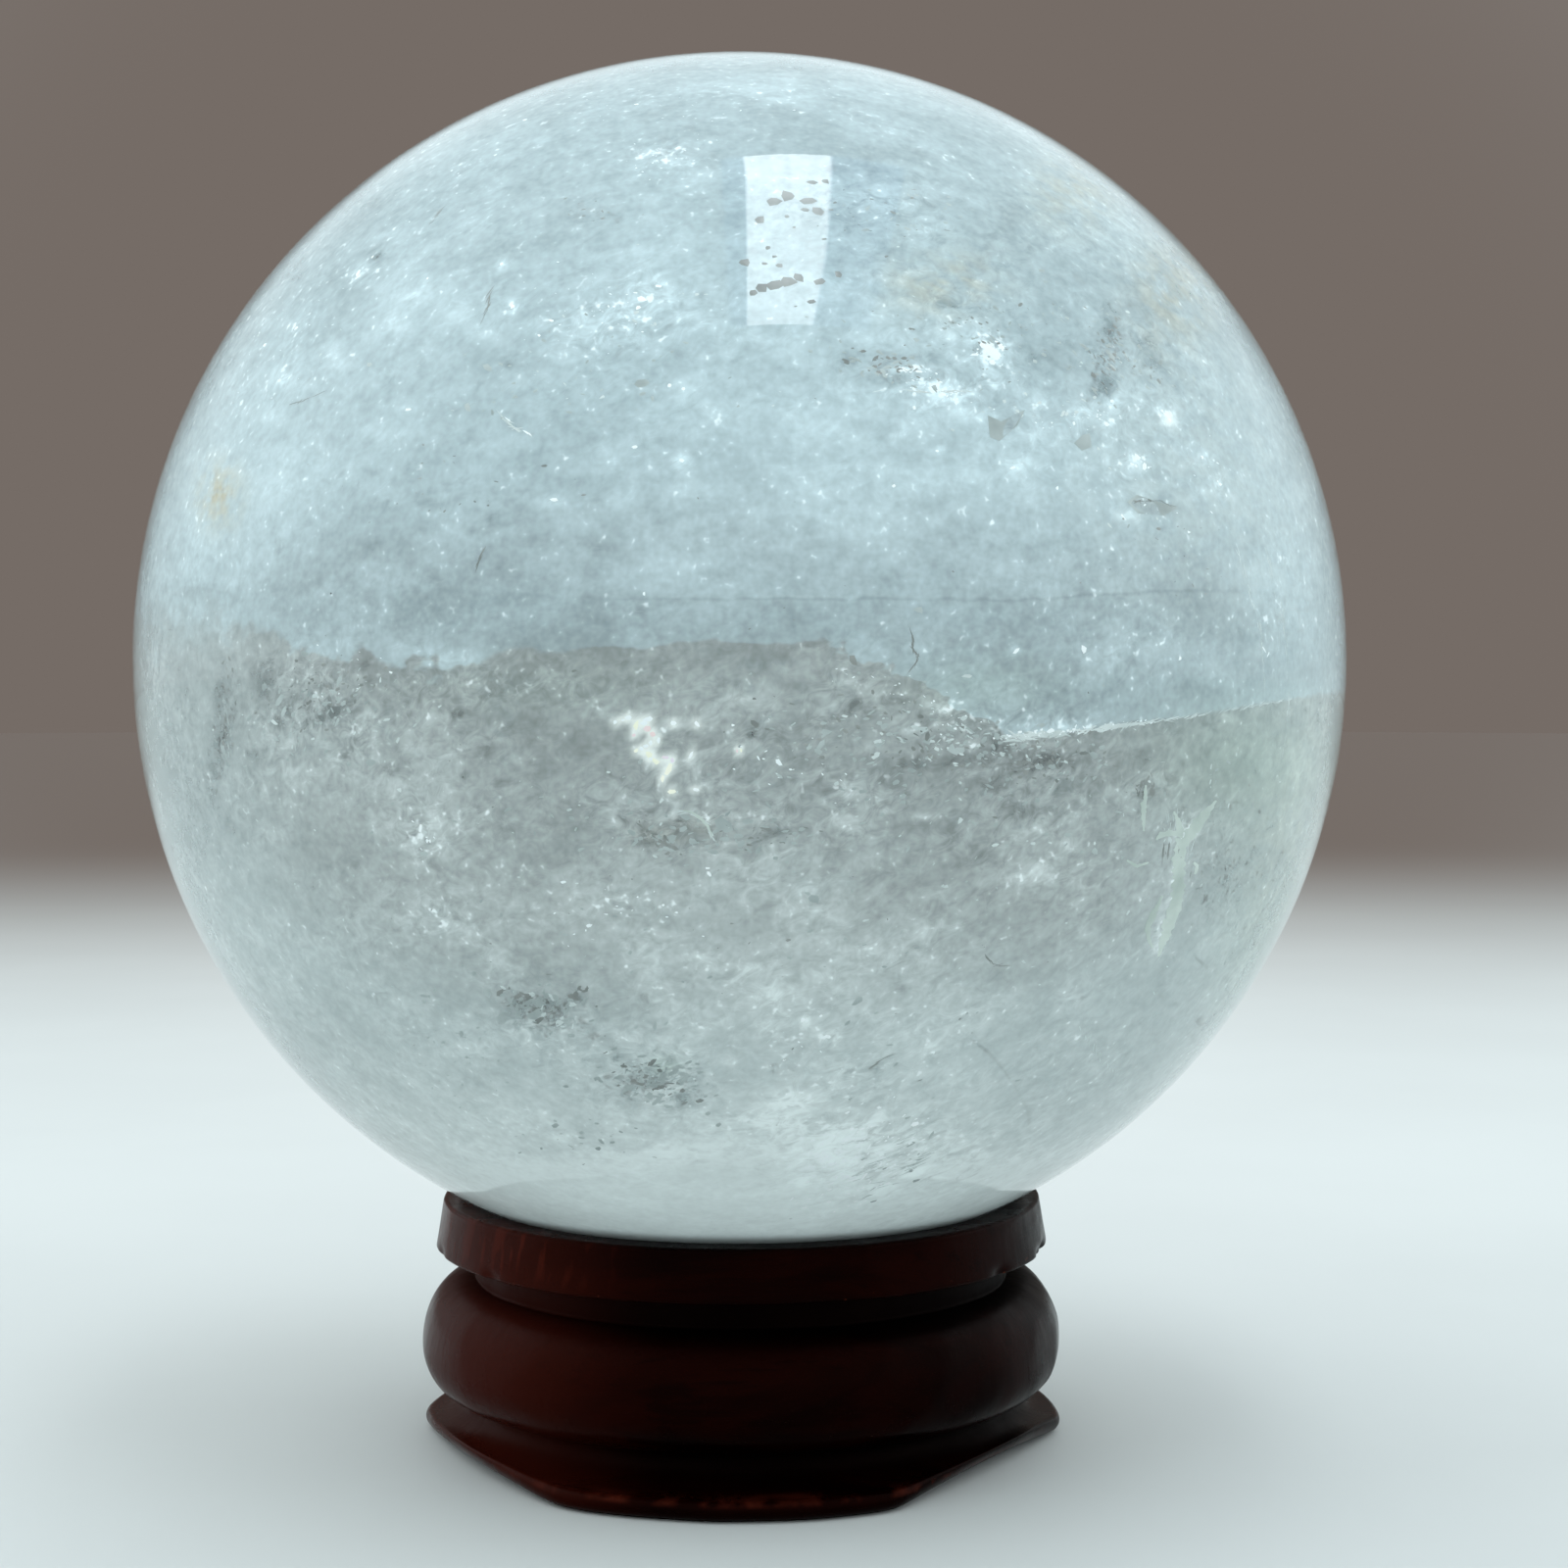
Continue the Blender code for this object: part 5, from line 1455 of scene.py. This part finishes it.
def window_material(stage):
    """Daylight through a window with a blind: a bright middle, dim sides and fine streaks along it."""
    material, tree = new_material("window_daylight")
    place = add_node(tree, "ShaderNodeUVMap", uv_map="panel")
    across = add_node(tree, "ShaderNodeSeparateXYZ", {"Vector": place}).outputs["X"]
    stretched = add_node(tree, "ShaderNodeMapping", {"Vector": place, "Scale": (30.0, 1.2, 1.0)})
    streaks = add_node(tree, "ShaderNodeTexNoise", {
        "Vector": stretched, "Scale": 1.0, "Detail": 3.0, "Roughness": 0.7})
    streaks = add_node(tree, "ShaderNodeMapRange", {
        "Value": streaks, "From Min": 0.3, "From Max": 0.7, "To Min": 0.75, "To Max": 1.1})
    left = add_node(tree, "ShaderNodeMapRange", {
        "Value": across, "From Min": 0.11, "From Max": 0.13}, interpolation_type="SMOOTHSTEP")
    right = add_node(tree, "ShaderNodeMapRange", {
        "Value": across, "From Min": 0.61, "From Max": 0.57}, interpolation_type="SMOOTHSTEP")
    middle = add_node(tree, "ShaderNodeMath", {0: left, 1: right}, operation="MULTIPLY")
    glow = add_node(tree, "ShaderNodeMapRange", {"Value": middle, "To Min": 0.22, "To Max": 1.0})
    glow = add_node(tree, "ShaderNodeMath", {0: streaks, 1: glow}, operation="MULTIPLY")
    glow = add_node(tree, "ShaderNodeMath", {0: glow, 1: stage.window_strength}, operation="MULTIPLY")
    colour = add_node(tree, "ShaderNodeMix", {
        "Factor": middle, "A": linear("#CFE4FF"), "B": linear("#F2FBFF")}, data_type="RGBA")
    light = add_node(tree, "ShaderNodeEmission", {"Color": colour, "Strength": glow})
    add_node(tree, "ShaderNodeOutputMaterial", {"Surface": light})
    return material


class QUARTZ_OT_stage(bpy.types.Operator):
    """Makes the pale floor, the backdrop, the soft lights and the camera"""

    bl_idname = "quartz.stage"
    bl_label = "Stage, lights and camera"

    def execute(self, context):
        scene = context.scene
        stage = scene.quartz_stage
        self.make_floor(scene, stage)
        self.make_world(scene, stage)
        self.make_window(scene, stage)
        self.make_camera(scene, stage)
        scene.view_settings.view_transform = "Standard"
        scene.cycles.max_bounces = 6
        scene.cycles.diffuse_bounces = 2
        return {"FINISHED"}

    def make_floor(self, scene, stage):
        """A flat pale disc under the stand, wide enough to fill the view from every side."""
        turn = np.linspace(0, 2 * math.pi, 128, endpoint=False)
        rim = stage.floor_radius * np.column_stack((np.cos(turn), np.sin(turn), 0 * turn))
        mesh = bpy.data.meshes.new("floor")
        mesh.from_pydata(rim, [], [range(len(rim))])
        mesh.materials.append(floor_material(stage))
        sheet = bpy.data.objects.new("floor", mesh)
        scene.collection.objects.link(sheet)

    def make_world(self, scene, stage):
        """Soft light from all round, dimmer in front, behind, low and overhead, and a dim patch behind."""
        world = bpy.data.worlds.new("soft_room")
        world.use_nodes = True
        tree = world.node_tree
        tree.nodes.clear()
        way = add_node(tree, "ShaderNodeTexCoord").outputs["Generated"]
        split = add_node(tree, "ShaderNodeSeparateXYZ", {"Vector": way})
        rise = add_node(tree, "ShaderNodeMapRange", {
            "Value": split.outputs["Z"], "From Min": -0.1, "From Max": 0.9, "To Min": 1.0, "To Max": 0.72},
            interpolation_type="SMOOTHSTEP")
        front = add_node(tree, "ShaderNodeMapRange", {
            "Value": split.outputs["Y"], "From Min": -0.9, "From Max": 0.2, "To Min": 0.66, "To Max": 1.0},
            interpolation_type="SMOOTHSTEP")
        low = add_node(tree, "ShaderNodeMapRange", {
            "Value": split.outputs["Z"], "From Min": 0.0, "From Max": 0.4, "To Min": 0.62, "To Max": 1.0},
            interpolation_type="SMOOTHSTEP")
        back = add_node(tree, "ShaderNodeMapRange", {
            "Value": split.outputs["Y"], "From Min": 0.1, "From Max": 0.8, "To Min": 1.0, "To Max": 0.66},
            interpolation_type="SMOOTHSTEP")
        light = add_node(tree, "ShaderNodeMath", {0: rise, 1: front}, operation="MULTIPLY")
        light = add_node(tree, "ShaderNodeMath", {0: light, 1: back}, operation="MULTIPLY")
        light = add_node(tree, "ShaderNodeMath", {0: light, 1: low}, operation="MULTIPLY")
        light = add_node(tree, "ShaderNodeMath", {0: light, 1: stage.light_strength}, operation="MULTIPLY")
        side = add_node(tree, "ShaderNodeVectorMath", {0: way, 1: SIDE_LIGHT_WAY}, operation="DOT_PRODUCT")
        side = add_node(tree, "ShaderNodeMapRange", {
            "Value": side.outputs["Value"], "From Min": math.cos(math.radians(34)),
            "From Max": math.cos(math.radians(6)), "To Max": stage.side_light_strength},
            interpolation_type="SMOOTHSTEP")
        light = add_node(tree, "ShaderNodeMath", {0: light, 1: side}, operation="ADD")
        patch = add_node(tree, "ShaderNodeMapRange", {
            "Value": split.outputs["Y"], "From Min": math.cos(BACKDROP_ANGLES[0]),
            "From Max": math.cos(BACKDROP_ANGLES[1])},
            interpolation_type="SMOOTHSTEP")
        under = add_node(tree, "ShaderNodeMapRange", {
            "Value": split.outputs["Z"], "From Min": math.sin(BACKDROP_TOP[0]),
            "From Max": math.sin(BACKDROP_TOP[1])},
            interpolation_type="SMOOTHSTEP")
        patch = add_node(tree, "ShaderNodeMath", {0: patch, 1: under}, operation="MULTIPLY")
        colour = add_node(tree, "ShaderNodeVectorMath", {
            0: (0.90, 0.98, 1.0), "Scale": light}, operation="SCALE")
        colour = add_node(tree, "ShaderNodeMix", {
            "Factor": patch, "A": colour, "B": list(stage.backdrop_colour)}, data_type="RGBA")
        background = add_node(tree, "ShaderNodeBackground", {"Color": colour})
        add_node(tree, "ShaderNodeOutputWorld", {"Surface": background})
        world.cycles.sampling_method = "NONE"
        scene.world = world

    def make_window(self, scene, stage):
        """A long panel over the ball, cut so that its reflection in the polish covers the window's pixels.

        Each corner is where the ray that the skin reflects meets the level of the panel.
        """
        skin, rays = skin_points(WINDOW_CORNERS)
        outward = (skin - BALL_CENTRE) / BALL_RADIUS
        back = rays - 2 * np.sum(rays * outward, axis=1, keepdims=True) * outward
        corners = skin + back * ((stage.window_height - skin[:, 2]) / back[:, 2])[:, None]
        mesh = bpy.data.meshes.new("window_panel")
        mesh.from_pydata(corners, [], [(0, 1, 2, 3)])
        mesh.uv_layers.new(name="panel").data.foreach_set("uv", (0, 0, 1, 0, 1, 1, 0, 1))
        mesh.materials.append(window_material(stage))
        panel = bpy.data.objects.new("window_panel", mesh)
        scene.collection.objects.link(panel)

    def make_camera(self, scene, stage):
        """The photograph's viewpoint."""
        data = bpy.data.cameras.new("camera")
        data.sensor_width = SENSOR_WIDTH
        data.lens = stage.focal_length
        data.clip_start = 0.001
        camera = bpy.data.objects.new("camera", data)
        camera.location = (0.0, -stage.camera_distance, stage.camera_height)
        camera.rotation_euler = (math.pi / 2 - stage.camera_tilt, 0.0, -stage.camera_turn)
        scene.collection.objects.link(camera)
        scene.camera = camera


class QUARTZ_PT_panel(bpy.types.Panel):
    """Lists the settings and the steps that build the object"""

    bl_idname = "QUARTZ_PT_panel"
    bl_label = "Quartz sphere"
    bl_space_type = "VIEW_3D"
    bl_region_type = "UI"
    bl_category = "Quartz"

    def draw(self, context):
        layout = self.layout
        for group in (context.scene.quartz_stone, context.scene.quartz_stand, context.scene.quartz_stage):
            box = layout.box()
            for name in group.bl_rna.properties.keys():
                if name not in {"rna_type", "name"}:
                    box.prop(group, name)
        for step in STEPS:
            layout.operator(step.bl_idname)


STEPS = (QUARTZ_OT_stage, QUARTZ_OT_stand, QUARTZ_OT_ball, QUARTZ_OT_flecks, QUARTZ_OT_veils,
         QUARTZ_OT_clusters)
CLASSES = (QuartzStoneSettings, QuartzStandSettings, QuartzStageSettings) + STEPS + (QUARTZ_PT_panel,)


def register():
    for item in CLASSES:
        bpy.utils.register_class(item)
    bpy.types.Scene.quartz_stone = bpy.props.PointerProperty(type=QuartzStoneSettings)
    bpy.types.Scene.quartz_stand = bpy.props.PointerProperty(type=QuartzStandSettings)
    bpy.types.Scene.quartz_stage = bpy.props.PointerProperty(type=QuartzStageSettings)


def unregister():
    del bpy.types.Scene.quartz_stage
    del bpy.types.Scene.quartz_stand
    del bpy.types.Scene.quartz_stone
    for item in reversed(CLASSES):
        bpy.utils.unregister_class(item)


def main():
    register()
    bpy.ops.quartz.stage()
    bpy.ops.quartz.stand()
    bpy.ops.quartz.ball()
    bpy.ops.quartz.flecks()
    bpy.ops.quartz.veils()
    bpy.ops.quartz.clusters()


if __name__ == "__main__":
    main()
